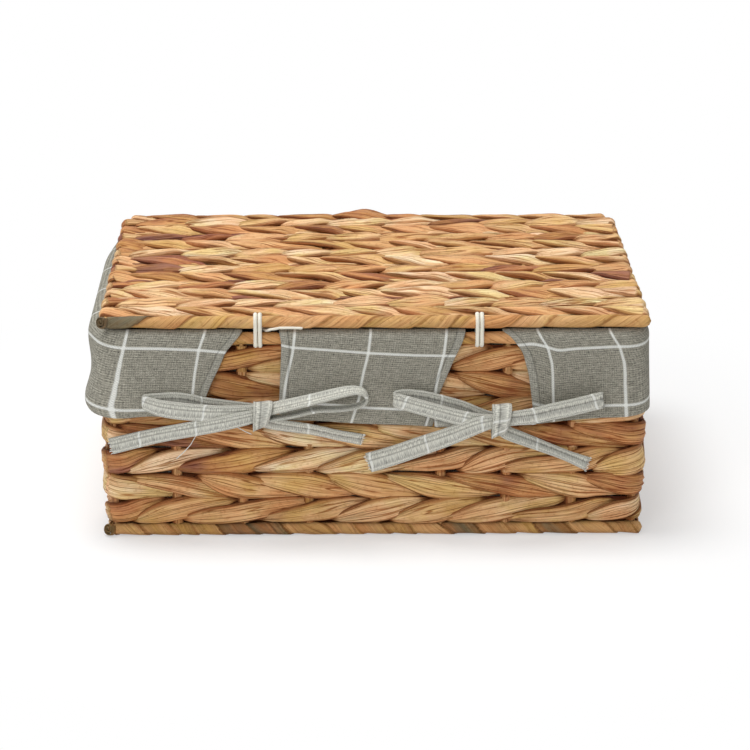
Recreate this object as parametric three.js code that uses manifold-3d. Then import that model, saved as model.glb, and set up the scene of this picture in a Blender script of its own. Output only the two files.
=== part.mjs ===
import * as THREE from "three";
import { mergeVertices } from "three/addons/utils/BufferGeometryUtils.js";
import Module from "manifold-3d";

// A box twined from water hyacinth on a wire frame, with a flat lid on two cord hinges and a cloth liner.
// The liner's cuff folds over the rim and is tied with a bow below each hinge.
// Millimetres, +Z up. The origin is on the floor under the middle of the basket. The hinge side faces -Y.

// Basket
const BASKET_WIDTH = 328; // over the weave, left to right
const BASKET_DEPTH = 232; // over the weave, hinge side to far side
const WALL_THICKNESS = 8.6; // one twined course: two strands with the stakes between them
const COURSE_HEIGHT = 15.6;
const COURSE_COUNT = 7;
const COURSE_GAP = 0.6; // between neighbouring courses and rolls
const COURSE_CHAMFER = 2;
const ROLL_DIAMETER = 8; // wrapped edges of the rim, the base and the lid
const CORNER_RADIUS = 9; // of the basket's rings, at the wire
const CORNER_STEPS = 2;
const BASE_COURSES = 13;

// Wire frames
const RING_WIRE = 3.2;
const STAKE_WIRE = 3;
const WIRE_CLEARANCE = 0.3; // between a wire and the hole it passes through
const WIRE_SIDES = 6;
const LONG_BAYS = 8; // spaces between the stakes of a long side
const SHORT_BAYS = 6; // spaces between the stakes of a short side

// Lid
const LID_SIDE_OVERHANG = 1; // past the basket at each end
const LID_FAR_OVERHANG = 1;
const LID_SEAT_GAP = 0.3; // between the liner's fold and the lid's rolls as they turn
const LID_CORNER_RADIUS = 6;
const LID_COURSES = 12;
const LID_BAYS = 10; // spaces between the lid's cross wires

// Hinge cords: each goes twice round the rim roll and the lid's roll, and is knotted inside
const CORD_DIAMETER = 2.2;
const CORD_GAP = 0.3; // to the rolls
const CORD_TURN_GAP = 0.3; // between the two turns
const CORD_KNOT = 4.2;
const CORD_SIDES = 6;
const CORD_STEPS = 4; // per quarter turn
const HINGE_STAKE = 2; // the cords pass beside this stake, counted from the middle
const LEFT_HINGE_FROM_STAKE = 10;
const RIGHT_HINGE_FROM_STAKE = 17.4;
const HINGE_SLOT_SIDE = 0.6; // room beside a cord in the slots that it swings through
const HINGE_SLOT_END = 1.5; // room past a cord at the end of those slots

// Liner
const LINER_THICKNESS = 1;
const LINER_GAP = 0.3; // to the weave
const FOLD_STEPS = 6; // over the rim
const CUFF_HUG = 8; // the cuff stays close to the wall this far below the rim's centre
const CUFF_DROP = 50; // hem below the rim's centre
const CUFF_FLARE = 3.2; // the hem's distance from the wall, beyond the gap
const HEM_BAND = 12;
const HEM_THICKNESS = 2.2;

// Notches in the cuff, measured from their hinge cord towards the outside and the middle of the box
const LEFT_NOTCH = { topOut: 8.7, topIn: 12.7, lowOut: 30.7, lowIn: 12.5 };
const RIGHT_NOTCH = { topOut: 10.4, topIn: 6.8, lowOut: 32, lowIn: 25 };

// Bows: the ends of loops and tails are measured from their knot, to the right and up
const TIE_WIDTH = 9;
const TIE_THICKNESS = 1.8;
const TIE_GAP = 0.3;
const KNOT_WIDTH = 13;
const KNOT_HEIGHT = 15;
const KNOT_CHAMFER = 3;
const KNOT_ABOVE_HEM = 5.5;
const BOW_LOOP_HEIGHT = 17;
const TAIL_SAG = 4;
const CURVE_POINTS = 4;
const LEFT_BOW = {
  knotFromHinge: 3,
  loops: { left: [-72, 9], right: [62, 12] },
  tails: { left: [-93, -21], right: [60, -17] },
};
const RIGHT_BOW = {
  knotFromHinge: 14,
  loops: { left: [-64, 14], right: [59, 12] },
  tails: { left: [-80, -29], right: [52, -29] },
};

// Looks of the five materials
const TAN = { color: 0xb48f63, roughness: 0.8, metalness: 0 };
const BROWN = { color: 0x9a7550, roughness: 0.8, metalness: 0 };
const STEEL = { color: 0x6f6a62, roughness: 0.5, metalness: 0.8 };
const COTTON = { color: 0xe9e6dd, roughness: 0.9, metalness: 0 };
const CLOTH = { color: 0x8d8d86, roughness: 0.95, metalness: 0 };

// Places worked out from the sizes
const OCTAGON_REACH = 1 / Math.cos(Math.PI / 8); // corner of an octagon over the middle of its side
const rollRadius = ROLL_DIAMETER / 2;
const rollReach = rollRadius * OCTAGON_REACH;
const frameHalfWidth = (BASKET_WIDTH - WALL_THICKNESS) / 2;
const frameHalfDepth = (BASKET_DEPTH - WALL_THICKNESS) / 2;
const baseZ = rollRadius;
const coursePitch = COURSE_HEIGHT + COURSE_GAP;
const rimZ = ROLL_DIAMETER + COURSE_GAP + COURSE_COUNT * coursePitch + rollRadius;
const foldInner = Math.max(rollReach, WALL_THICKNESS / 2) + LINER_GAP;
const foldOuter = foldInner + LINER_THICKNESS;
const cordInner = rollReach + CORD_GAP;
const cordOuter = cordInner + CORD_DIAMETER;
const hingeY = -frameHalfDepth;
const hingeSpan = Math.max(foldOuter, rollReach) + LID_SEAT_GAP + rollReach;
const lidZ = rimZ + hingeSpan;
const lidHalfWidth = BASKET_WIDTH / 2 + LID_SIDE_OVERHANG;
const lidFarY = BASKET_DEPTH / 2 + LID_FAR_OVERHANG - rollRadius;
const hemZ = rimZ - CUFF_DROP;
const bandInner = WALL_THICKNESS / 2 + LINER_GAP + CUFF_FLARE;
const bandOuter = bandInner + HEM_THICKNESS;
const stakeX = Array.from({ length: LONG_BAYS - 1 }, (_, i) => bayEdge(i + 1, LONG_BAYS, frameHalfWidth));
const stakeY = Array.from({ length: SHORT_BAYS - 1 }, (_, i) => bayEdge(i + 1, SHORT_BAYS, frameHalfDepth));
const middleStake = (stakeX.length - 1) / 2;
const leftHingeX = stakeX[Math.floor(middleStake) - HINGE_STAKE] + LEFT_HINGE_FROM_STAKE;
const rightHingeX = stakeX[Math.ceil(middleStake) + HINGE_STAKE] - RIGHT_HINGE_FROM_STAKE;
const hingeXs = [leftHingeX, rightHingeX];

const wasm = await Module();
wasm.setup();

// Axes for a shape drawn flat and pushed out: along X with the shape in YZ, or towards -Y with it in XZ
const ALONG_X = new THREE.Matrix4().makeBasis(
  new THREE.Vector3(0, 1, 0),
  new THREE.Vector3(0, 0, 1),
  new THREE.Vector3(1, 0, 0),
);
const TOWARDS_FRONT = new THREE.Matrix4().makeBasis(
  new THREE.Vector3(1, 0, 0),
  new THREE.Vector3(0, 0, 1),
  new THREE.Vector3(0, -1, 0),
);

// The place of the edge between two bays on a side that runs from -half to half.
function bayEdge(index, bays, half) {
  return half * ((2 * index) / bays - 1);
}

// Half the width of the slot that a hinge cord swings through.
function slotHalf() {
  return CORD_DIAMETER + CORD_TURN_GAP / 2 + HINGE_SLOT_SIDE;
}

// A cross wire's place, moved aside where it would meet a hinge cord.
function clearOfCords(x) {
  const room = slotHalf() + STAKE_WIRE / 2 + 2 * WIRE_CLEARANCE;
  const cord = hingeXs.find((place) => Math.abs(x - place) < room);
  if (cord === undefined) return x;
  return x < cord ? cord - room : cord + room;
}

function solidFrom(geometry) {
  const bare = geometry.clone();
  for (const name of Object.keys(bare.attributes)) {
    if (name !== "position") bare.deleteAttribute(name);
  }
  const merged = mergeVertices(bare);
  return new wasm.Manifold(
    new wasm.Mesh({
      numProp: 3,
      vertProperties: new Float32Array(merged.getAttribute("position").array),
      triVerts: new Uint32Array(merged.getIndex().array),
    }),
  );
}

function geometryFrom(solid) {
  const mesh = solid.getMesh();
  const geometry = new THREE.BufferGeometry();
  geometry.setAttribute("position", new THREE.BufferAttribute(new Float32Array(mesh.vertProperties), 3));
  geometry.setIndex(new THREE.BufferAttribute(new Uint32Array(mesh.triVerts), 1));
  geometry.computeVertexNormals();
  return geometry;
}

function joined(solids) {
  return solids.reduce((whole, solid) => whole.add(solid));
}

function box(low, high) {
  const size = high.map((value, axis) => value - low[axis]);
  const middle = high.map((value, axis) => (value + low[axis]) / 2);
  return solidFrom(new THREE.BoxGeometry(...size).translate(...middle));
}

// A rectangle with its corners cut, round the origin.
function cutRectangle(width, height, cut) {
  const x = width / 2;
  const y = height / 2;
  return [
    [x, cut - y], [x, y - cut], [x - cut, y], [cut - x, y],
    [-x, y - cut], [-x, cut - y], [cut - x, -y], [x - cut, -y],
  ].map((point) => new THREE.Vector2(...point));
}

function octagon(width) {
  return cutRectangle(width, width, (width * (1 - Math.tan(Math.PI / 8))) / 2);
}

function polygon(sides, diameter) {
  return Array.from({ length: sides }, (_, i) => {
    const angle = (2 * Math.PI * i) / sides;
    return new THREE.Vector2(Math.cos(angle), Math.sin(angle)).multiplyScalar(diameter / 2);
  });
}

function square(width) {
  return polygon(4, width * Math.SQRT2).map((point) => point.rotateAround(new THREE.Vector2(), Math.PI / 4));
}

// A flat outline pushed from one distance to another along the axes given.
function prism(outline, from, to, axes) {
  const shape = outline instanceof THREE.Shape ? outline : new THREE.Shape(outline);
  const options = { depth: to - from, bevelEnabled: false, curveSegments: CURVE_POINTS };
  const geometry = new THREE.ExtrudeGeometry(shape, options);
  return solidFrom(geometry.translate(0, 0, from).applyMatrix4(axes));
}

// A rectangle with rounded corners: each stop has its point and the way out from the ring.
function ringStops(halfWidth, halfDepth, radius, steps) {
  const corners = [[1, 1], [-1, 1], [-1, -1], [1, -1]];
  return corners.flatMap(([sideX, sideY], quarter) =>
    Array.from({ length: steps + 1 }, (_, i) => {
      const angle = ((quarter + i / steps) * Math.PI) / 2;
      const out = new THREE.Vector2(Math.cos(angle), Math.sin(angle));
      const middle = new THREE.Vector2(sideX * (halfWidth - radius), sideY * (halfDepth - radius));
      return { point: middle.addScaledVector(out, radius), out };
    }),
  );
}

// A section of points (out, up), counter-clockwise, carried round a closed row of stops.
function ring(section, stops) {
  const positions = stops.flatMap(({ point, out }) =>
    section.flatMap((corner) => [point.x + out.x * corner.x, point.y + out.y * corner.x, corner.y]),
  );
  const count = section.length;
  const triangles = stops.flatMap((_, i) => {
    const here = i * count;
    const next = ((i + 1) % stops.length) * count;
    return section.flatMap((__, j) => {
      const k = (j + 1) % count;
      return [here + j, next + j, next + k, here + j, next + k, here + k];
    });
  });
  const geometry = new THREE.BufferGeometry();
  geometry.setAttribute("position", new THREE.Float32BufferAttribute(positions, 3));
  geometry.setIndex(triangles);
  return geometry;
}

function raised(section, height) {
  return section.map((point) => new THREE.Vector2(point.x, point.y + height));
}

const basketStops = ringStops(frameHalfWidth, frameHalfDepth, CORNER_RADIUS, CORNER_STEPS);
const lidMiddleY = (hingeY + lidFarY) / 2;
const lidWireX = lidHalfWidth - rollRadius;
const lidCrossX = Array.from({ length: LID_BAYS - 1 }, (_, i) =>
  clearOfCords(bayEdge(i + 1, LID_BAYS, lidWireX)),
);
const lidStops = ringStops(lidWireX, (lidFarY - hingeY) / 2, LID_CORNER_RADIUS, CORNER_STEPS);

function basketRing(section, height) {
  return solidFrom(ring(raised(section, height), basketStops));
}

function lidRing(section) {
  return solidFrom(ring(raised(section, lidZ), lidStops).translate(0, lidMiddleY, 0));
}

// Where the stakes and the corner posts of the basket stand.
function stakePlaces() {
  const bend = CORNER_RADIUS * (1 - Math.SQRT1_2);
  const postX = frameHalfWidth - bend;
  const postY = frameHalfDepth - bend;
  return [
    ...stakeX.flatMap((x) => [[x, -frameHalfDepth], [x, frameHalfDepth]]),
    ...stakeY.flatMap((y) => [[-frameHalfWidth, y], [frameHalfWidth, y]]),
    ...[[1, 1], [-1, 1], [-1, -1], [1, -1]].map(([sideX, sideY]) => [sideX * postX, sideY * postY]),
  ];
}

function uprightWire(x, y, section) {
  return prism(
    section.map((point) => new THREE.Vector2(point.x + x, point.y + y)),
    baseZ,
    rimZ,
    new THREE.Matrix4(),
  );
}

// A wire that crosses a panel from the hinge side to the far side.
function crossWire(x, z, section, nearY, farY) {
  const outline = section.map((point) => new THREE.Vector2(point.x + x, point.y + z));
  return prism(outline, -farY, -nearY, TOWARDS_FRONT);
}

function basketWires(ringSection, stakeSection) {
  return joined([
    basketRing(ringSection, rimZ),
    basketRing(ringSection, baseZ),
    ...stakePlaces().map(([x, y]) => uprightWire(x, y, stakeSection)),
    ...stakeX.map((x) => crossWire(x, baseZ, stakeSection, -frameHalfDepth, frameHalfDepth)),
  ]);
}

function lidWires(ringSection, stakeSection) {
  return joined([
    lidRing(ringSection),
    ...lidCrossX.map((x) => crossWire(x, lidZ, stakeSection, hingeY, lidFarY)),
  ]);
}

const ringWire = polygon(WIRE_SIDES, RING_WIRE);
const stakeWire = polygon(WIRE_SIDES, STAKE_WIRE);
const ringHole = square(RING_WIRE + 2 * WIRE_CLEARANCE);
const stakeHole = square(STAKE_WIRE + 2 * WIRE_CLEARANCE);
const basketHoles = basketWires(ringHole, stakeHole);
const lidHoles = lidWires(ringHole, stakeHole);

// A straight woven piece along X, with its section's middle at the place given.
function bar(section, halfLength, y, z) {
  const outline = section.map((point) => new THREE.Vector2(point.x + y, point.y + z));
  return prism(outline, -halfLength, halfLength, ALONG_X);
}

// The courses that fill a panel between its two rolls, from the hinge side to the far side.
function panelCourses(count, nearY, farY, halfLength, z) {
  const start = nearY + rollRadius + COURSE_GAP;
  const pitch = (farY - rollRadius - start) / count;
  const section = cutRectangle(pitch - COURSE_GAP, ROLL_DIAMETER, COURSE_CHAMFER);
  const middle = start + (pitch - COURSE_GAP) / 2;
  return Array.from({ length: count }, (_, i) => bar(section, halfLength, middle + i * pitch, z));
}

// Room for the hinge cords to swing in, between two distances from the hinge plane and two heights.
function hingeSlots(nearY, farY, lowZ, highZ) {
  const half = slotHalf();
  return joined(hingeXs.map((x) => box([x - half, nearY, lowZ], [x + half, farY, highZ])));
}

const slotReach = cordOuter + HINGE_SLOT_END;
const rimSlots = hingeSlots(hingeY - slotReach, hingeY + slotReach, rimZ - slotReach, rimZ + slotReach);
const lidSlots = hingeSlots(hingeY, hingeY + slotReach, lidZ - slotReach, lidZ + slotReach);

function wallCourse(index) {
  const height = ROLL_DIAMETER + COURSE_GAP + index * coursePitch + COURSE_HEIGHT / 2;
  const course = basketRing(cutRectangle(WALL_THICKNESS, COURSE_HEIGHT, COURSE_CHAMFER), height);
  return course.subtract(basketHoles).subtract(rimSlots);
}

// Two turns of cord round the rim roll and the lid's roll, joined by the knot on the inside.
function hingeCord(x) {
  const middle = (cordInner + cordOuter) / 2;
  const stops = ringStops(middle, middle + hingeSpan / 2, middle, CORD_STEPS);
  const turn = solidFrom(ring(polygon(CORD_SIDES, CORD_DIAMETER), stops).applyMatrix4(ALONG_X));
  const centreZ = (rimZ + lidZ) / 2;
  const side = (CORD_DIAMETER + CORD_TURN_GAP) / 2;
  const turns = [-side, side].map((shift) => turn.translate([x + shift, hingeY, centreZ]));
  const ball = new THREE.SphereGeometry(CORD_KNOT / 2, CORD_SIDES, CORD_STEPS);
  return joined([...turns, solidFrom(ball.translate(x, hingeY + middle, centreZ))]);
}

// The cuff's section: over the rim from the inside, close down the wall, then out to the hem band.
function cuffSection() {
  const over = (radius) =>
    Array.from({ length: FOLD_STEPS + 1 }, (_, i) => {
      const angle = Math.PI * (1 - i / FOLD_STEPS);
      return new THREE.Vector2(radius * Math.cos(angle), rimZ + radius * Math.sin(angle));
    });
  const down = (radius, band) => [
    new THREE.Vector2(radius, rimZ - CUFF_HUG),
    new THREE.Vector2(band, hemZ + HEM_BAND),
    new THREE.Vector2(band, hemZ),
  ];
  const outside = [...over(foldOuter), ...down(foldOuter, bandOuter)];
  const inside = [...over(foldInner), ...down(foldInner, bandInner)];
  return [...inside, ...outside.reverse()];
}

// The part of the hinge side between two slanting edges, each given by its places at the rim and the hem.
function between(left, right) {
  const topZ = lidZ + rollReach;
  const lowZ = hemZ + HEM_BAND;
  const bottomZ = hemZ - HEM_BAND;
  const outline = [
    [left.low, bottomZ], [right.low, bottomZ], [right.low, lowZ], [right.top, rimZ],
    [right.top, topZ], [left.top, topZ], [left.top, rimZ], [left.low, lowZ],
  ].map((point) => new THREE.Vector2(...point));
  return prism(outline, 0, BASKET_DEPTH, TOWARDS_FRONT);
}

function notchEdges(hingeX, notch, outward) {
  return {
    out: { top: hingeX + outward * notch.topOut, low: hingeX + outward * notch.lowOut },
    in: { top: hingeX - outward * notch.topIn, low: hingeX - outward * notch.lowIn },
  };
}

const leftEdges = notchEdges(leftHingeX, LEFT_NOTCH, -1);
const rightEdges = notchEdges(rightHingeX, RIGHT_NOTCH, 1);

function linerBag() {
  const shell = (inset, low, high) => {
    const stops = ringStops(
      frameHalfWidth - inset,
      frameHalfDepth - inset,
      Math.max(CORNER_RADIUS - inset, LINER_THICKNESS),
      CORNER_STEPS,
    );
    return prism(stops.map((stop) => stop.point), low, high, new THREE.Matrix4());
  };
  const floorZ = ROLL_DIAMETER + LINER_GAP;
  const topZ = rimZ - LINER_GAP;
  const outside = shell(foldInner, floorZ, topZ);
  return outside.subtract(shell(foldOuter, floorZ + LINER_THICKNESS, lidZ)).subtract(rimSlots);
}

// A bow's loop: a band bent round a teardrop, lying along +X from its knot.
function loopOutline(length) {
  const teardrop = (outline, start, end, half) => {
    outline.moveTo(start, -TIE_THICKNESS / 2);
    outline.bezierCurveTo(length / 2, -2 * half, end, -half, end, 0);
    outline.bezierCurveTo(end, half, length / 2, 2 * half, start, TIE_THICKNESS / 2);
    outline.closePath();
    return outline;
  };
  const half = BOW_LOOP_HEIGHT / 2;
  const shape = teardrop(new THREE.Shape(), 0, length, half);
  const hole = teardrop(new THREE.Path(), KNOT_WIDTH, length - TIE_THICKNESS, half - TIE_THICKNESS);
  shape.holes.push(hole);
  return shape;
}

// A bow's tail: a flat band that sags, lying along +X from its knot.
function tailOutline(length) {
  const across = (side) =>
    Array.from({ length: CURVE_POINTS + 1 }, (_, i) => {
      const along = i / CURVE_POINTS;
      const drop = 4 * TAIL_SAG * along * (1 - along);
      return new THREE.Vector2(along * length, side * (TIE_WIDTH / 2) - drop);
    });
  return new THREE.Shape([...across(-1), ...across(1).reverse()]);
}

// The pieces of one bow, in front of the hem band. Its roots run between the two edges of the notch.
function bowPieces(name, knotX, rootEnds, bow) {
  const knotZ = hemZ + KNOT_ABOVE_HEM;
  const bandFront = frameHalfDepth + bandOuter;
  const tailFront = bandFront + TIE_GAP + TIE_THICKNESS;
  const loopBack = tailFront + TIE_GAP;
  const knotFront = loopBack + TIE_WIDTH;
  const placed = (outline, end, back, front) => {
    const turn = new THREE.Matrix4().makeRotationY(-Math.atan2(end[1], end[0]));
    const move = new THREE.Matrix4().makeTranslation(knotX, 0, knotZ);
    return prism(outline, back, front, move.multiply(turn).multiply(TOWARDS_FRONT));
  };
  const knotBack = frameHalfDepth + bandInner;
  const knotSolid = (gap) => {
    const outline = cutRectangle(KNOT_WIDTH + 2 * gap, KNOT_HEIGHT + 2 * gap, KNOT_CHAMFER);
    return placed(outline, [1, 0], knotBack - gap, knotFront + gap);
  };
  const knotRoom = knotSolid(TIE_GAP);
  const roots = box(
    [rootEnds[0] + TIE_GAP, -bandFront, knotZ - TIE_WIDTH / 2],
    [rootEnds[1] - TIE_GAP, -knotBack, knotZ + TIE_WIDTH / 2],
  );
  const length = (end) => Math.hypot(...end);
  return [
    [`${name}_bow_knot`, knotSolid(0).add(roots)],
    ...Object.entries(bow.loops).map(([side, end]) => [
      `${name}_bow_loop_${side}`,
      placed(loopOutline(length(end)), end, loopBack, knotFront).subtract(knotRoom),
    ]),
    ...Object.entries(bow.tails).map(([side, end]) => [
      `${name}_bow_tail_${side}`,
      placed(tailOutline(length(end)), end, bandFront + TIE_GAP, tailFront).subtract(knotRoom),
    ]),
  ];
}

const wovenBox = new THREE.Group();

function addPiece(name, solid, look) {
  const mesh = new THREE.Mesh(geometryFrom(solid), new THREE.MeshStandardMaterial(look));
  mesh.name = name;
  wovenBox.add(mesh);
}

function addCourses(name, courses) {
  courses.forEach((course, i) => addPiece(`${name}_${i + 1}`, course, i % 2 ? BROWN : TAN));
}

// Basket
const roll = octagon(ROLL_DIAMETER);
addPiece("basket_wire_frame", basketWires(ringWire, stakeWire), STEEL);
for (const [side, y] of [["hinge", -frameHalfDepth], ["far", frameHalfDepth]]) {
  const edge = bar(roll, BASKET_WIDTH / 2, y, baseZ).subtract(basketHoles);
  addPiece(`base_roll_${side}_side`, edge, BROWN);
}
addCourses(
  "base_course",
  panelCourses(BASE_COURSES, -frameHalfDepth, frameHalfDepth, BASKET_WIDTH / 2, baseZ).map((course) =>
    course.subtract(basketHoles),
  ),
);
addCourses("wall_course", Array.from({ length: COURSE_COUNT }, (_, i) => wallCourse(i)));
addPiece("rim_roll", basketRing(roll, rimZ).subtract(basketHoles), BROWN);

// Lid
addPiece("lid_wire_frame", lidWires(ringWire, stakeWire), STEEL);
for (const [side, y] of [["hinge", hingeY], ["far", lidFarY]]) {
  addPiece(`lid_roll_${side}_side`, bar(roll, lidHalfWidth, y, lidZ).subtract(lidHoles), BROWN);
}
addCourses(
  "lid_course",
  panelCourses(LID_COURSES, hingeY, lidFarY, lidHalfWidth, lidZ).map((course) =>
    course.subtract(lidHoles).subtract(lidSlots),
  ),
);

// Hinges
addPiece("hinge_cord_left", hingeCord(leftHingeX), COTTON);
addPiece("hinge_cord_right", hingeCord(rightHingeX), COTTON);

// Liner
const cuff = solidFrom(ring(cuffSection(), basketStops));
addPiece("liner_bag", linerBag(), CLOTH);
addPiece("liner_cuff_wrap", cuff.subtract(between(leftEdges.out, rightEdges.out)), CLOTH);
addPiece("liner_cuff_center", cuff.intersect(between(leftEdges.in, rightEdges.in)), CLOTH);
const leftRoots = [leftEdges.out.low, leftEdges.in.low];
const rightRoots = [rightEdges.in.low, rightEdges.out.low];
const bows = [
  ...bowPieces("left", leftHingeX + LEFT_BOW.knotFromHinge, leftRoots, LEFT_BOW),
  ...bowPieces("right", rightHingeX + RIGHT_BOW.knotFromHinge, rightRoots, RIGHT_BOW),
];
bows.forEach(([name, solid]) => addPiece(name, solid, CLOTH));

export default wovenBox;
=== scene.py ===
"""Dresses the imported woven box: twined strands, wrapped edges, cord hinges, a checked liner and bows."""

import math
from dataclasses import dataclass

import bmesh
import bpy
import numpy as np
from mathutils import Matrix, Vector


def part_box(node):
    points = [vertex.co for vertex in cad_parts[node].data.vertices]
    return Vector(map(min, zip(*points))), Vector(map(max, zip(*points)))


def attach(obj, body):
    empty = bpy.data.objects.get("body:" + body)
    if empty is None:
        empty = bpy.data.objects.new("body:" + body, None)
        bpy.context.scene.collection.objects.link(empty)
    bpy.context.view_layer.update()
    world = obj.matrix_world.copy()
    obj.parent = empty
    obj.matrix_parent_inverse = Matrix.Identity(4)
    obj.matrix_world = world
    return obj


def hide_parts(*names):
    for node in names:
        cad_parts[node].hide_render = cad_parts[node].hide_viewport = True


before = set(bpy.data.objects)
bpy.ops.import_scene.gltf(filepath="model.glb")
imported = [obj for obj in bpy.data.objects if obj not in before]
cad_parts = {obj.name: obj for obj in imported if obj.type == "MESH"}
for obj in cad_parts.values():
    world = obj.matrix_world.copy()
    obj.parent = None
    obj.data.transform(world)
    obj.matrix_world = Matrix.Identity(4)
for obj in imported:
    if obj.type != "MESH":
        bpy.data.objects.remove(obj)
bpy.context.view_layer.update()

MM = 0.001
SEED = 20
HALF_TURN = math.pi
FULL_TURN = 2 * math.pi
UP = np.array([0.0, 0.0, 1.0])
FRONT = np.array([0.0, -1.0, 0.0])
BACK = -FRONT
RIGHT = np.array([1.0, 0.0, 0.0])


# Places taken from the frame

def middle(node):
    low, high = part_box(node)
    return (np.array(low) + np.array(high)) / 2


def size(node):
    low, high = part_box(node)
    return np.array(high) - np.array(low)


ROLL_RADIUS = size("lid_roll_hinge_side")[2] / 2
RIM_Z = middle("rim_roll")[2]
LID_Z = middle("lid_roll_hinge_side")[2]
HALF_X = size("rim_roll")[0] / 2 - ROLL_RADIUS
HALF_Y = size("rim_roll")[1] / 2 - ROLL_RADIUS
HINGE_Y = -HALF_Y
LID_WIRE_X = size("lid_roll_hinge_side")[0] / 2 - ROLL_RADIUS
CORNER_RADIUS = 9 * MM
ARC_POINTS = 9
LONG_BAYS = 8
SHORT_BAYS = 6
LOOP_BAYS = 2 * (LONG_BAYS + SHORT_BAYS)
LID_BAYS = 10
WALL_COURSES = 7
BASE_COURSES = 13
LID_COURSES = 12


def loop_table():
    """Lengths round the basket from its front left post, with the points and outward angles there."""
    angles = []
    points = []
    turns = [(-1, -1, 1.25, 1.5), (1, -1, 1.5, 2), (1, 1, 2, 2.5), (-1, 1, 2.5, 3), (-1, -1, 3, 3.25)]
    for side_x, side_y, start, end in turns:
        for angle in np.linspace(start * HALF_TURN, end * HALF_TURN, ARC_POINTS):
            angles.append(angle)
            points.append((
                side_x * (HALF_X - CORNER_RADIUS) + CORNER_RADIUS * math.cos(angle),
                side_y * (HALF_Y - CORNER_RADIUS) + CORNER_RADIUS * math.sin(angle),
            ))
    points = np.array(points)
    steps = np.linalg.norm(np.diff(points, axis=0), axis=1)
    return np.concatenate([[0], np.cumsum(steps)]), points, np.array(angles)


LOOP_LENGTHS, LOOP_POINTS, LOOP_ANGLES = loop_table()
LOOP = LOOP_LENGTHS[-1]
FRONT_MIDDLE = LOOP_LENGTHS[ARC_POINTS - 1] + HALF_X - CORNER_RADIUS


def on_loop(length):
    """Points on the line round the basket at its stakes, and the way out from it."""
    length = np.mod(length, LOOP)
    x = np.interp(length, LOOP_LENGTHS, LOOP_POINTS[:, 0])
    y = np.interp(length, LOOP_LENGTHS, LOOP_POINTS[:, 1])
    angle = np.interp(length, LOOP_LENGTHS, LOOP_ANGLES)
    still = np.zeros_like(x)
    return np.stack([x, y, still], -1), np.stack([np.cos(angle), np.sin(angle), still], -1)


def front_length(x):
    """Length round the basket at a place on the hinge side."""
    return FRONT_MIDDLE + x


def stake_lengths():
    """Lengths round the basket at which its stakes and corner posts stand."""
    half_arc = LOOP_LENGTHS[ARC_POINTS - 1]
    lengths = [0.0]
    for half, bays in [(HALF_X, LONG_BAYS), (HALF_Y, SHORT_BAYS)] * 2:
        start = lengths[-1] + half_arc - CORNER_RADIUS
        lengths += [start + 2 * half * i / bays for i in range(1, bays)]
        lengths.append(start + 2 * half - CORNER_RADIUS + half_arc)
    return np.array(lengths)


STAKE_LENGTHS = stake_lengths()


# Meshes made of grids of points

def unit(vectors):
    return vectors / np.linalg.norm(vectors, axis=-1, keepdims=True)


def chance(*numbers):
    return np.random.default_rng([SEED, *numbers])


def smooth(share):
    """Goes gently from 0 to 1 as its share does."""
    share = np.clip(share, 0, 1)
    return share * share * (3 - 2 * share)


def gauss(distance, reach):
    return np.exp(-(distance / reach) ** 2)


def drift(rng, place, reach, period=None):
    """A smooth random rise and fall with one knot at each whole number of place."""
    count = int(period or math.ceil(place.max()) + 2)
    knots = rng.uniform(-reach, reach, count)
    low = np.floor(place).astype(int)
    share = smooth(place - low)
    return knots[low % count] * (1 - share) + knots[(low + 1) % count] * share


def lengths_along(points):
    return np.concatenate([[0], np.cumsum(np.linalg.norm(np.diff(points, axis=0), axis=1))])


class Surface:
    """A piece's mesh, gathered from grids of points."""

    def __init__(self):
        self.points = []
        self.corners = []
        self.uv = []
        self.values = {}
        self.count = 0

    def add(self, points, uv, values, closed=(False, False)):
        """Adds a grid. A closed side has one more row or column of surface coordinates than of points."""
        rows, columns = points.shape[:2]
        row_starts = np.arange(rows - 1 + closed[0])
        column_starts = np.arange(columns - 1 + closed[1])
        i, j = np.meshgrid(row_starts, column_starts, indexing="ij")
        i = np.stack([i, i, i + 1, i + 1], -1).reshape(-1, 4)
        j = np.stack([j, j + 1, j + 1, j], -1).reshape(-1, 4)
        self.corners.append(self.count + (i % rows) * columns + j % columns)
        self.uv.append(uv[i, j].reshape(-1, 2))
        self.points.append(points.reshape(-1, 3))
        self.count += rows * columns
        for name, value in values.items():
            spread = np.broadcast_to(value, (rows, columns))
            self.values.setdefault(name, []).append(spread.reshape(-1))

    def build(self, name, material, body, nodes, weld=False):
        """Makes the object, which stands for the nodes given and moves with the body."""
        mesh = bpy.data.meshes.new(name)
        mesh.from_pydata(np.concatenate(self.points).tolist(), [], np.concatenate(self.corners).tolist())
        layer = mesh.uv_layers.new(name="surface")
        layer.data.foreach_set("uv", np.concatenate(self.uv).astype(np.float32).ravel())
        for key, parts in self.values.items():
            attribute = mesh.attributes.new(key, "FLOAT", "POINT")
            attribute.data.foreach_set("value", np.concatenate(parts).astype(np.float32))
        if weld:
            close_seams(mesh)
        mesh.shade_smooth()
        mesh.materials.append(material)
        piece = bpy.data.objects.new(name, mesh)
        bpy.context.scene.collection.objects.link(piece)
        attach(piece, body)
        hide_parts(*nodes)
        return piece


WELD_DISTANCE = 0.01 * MM


def close_seams(mesh):
    """Joins points that lie on each other, such as at the flat end of a strip."""
    shape = bmesh.new()
    shape.from_mesh(mesh)
    bmesh.ops.remove_doubles(shape, verts=shape.verts, dist=WELD_DISTANCE)
    shape.to_mesh(mesh)
    shape.free()


PLEAT_DEPTH = 0.5
PLEAT_WIDTH = 0.15


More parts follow.
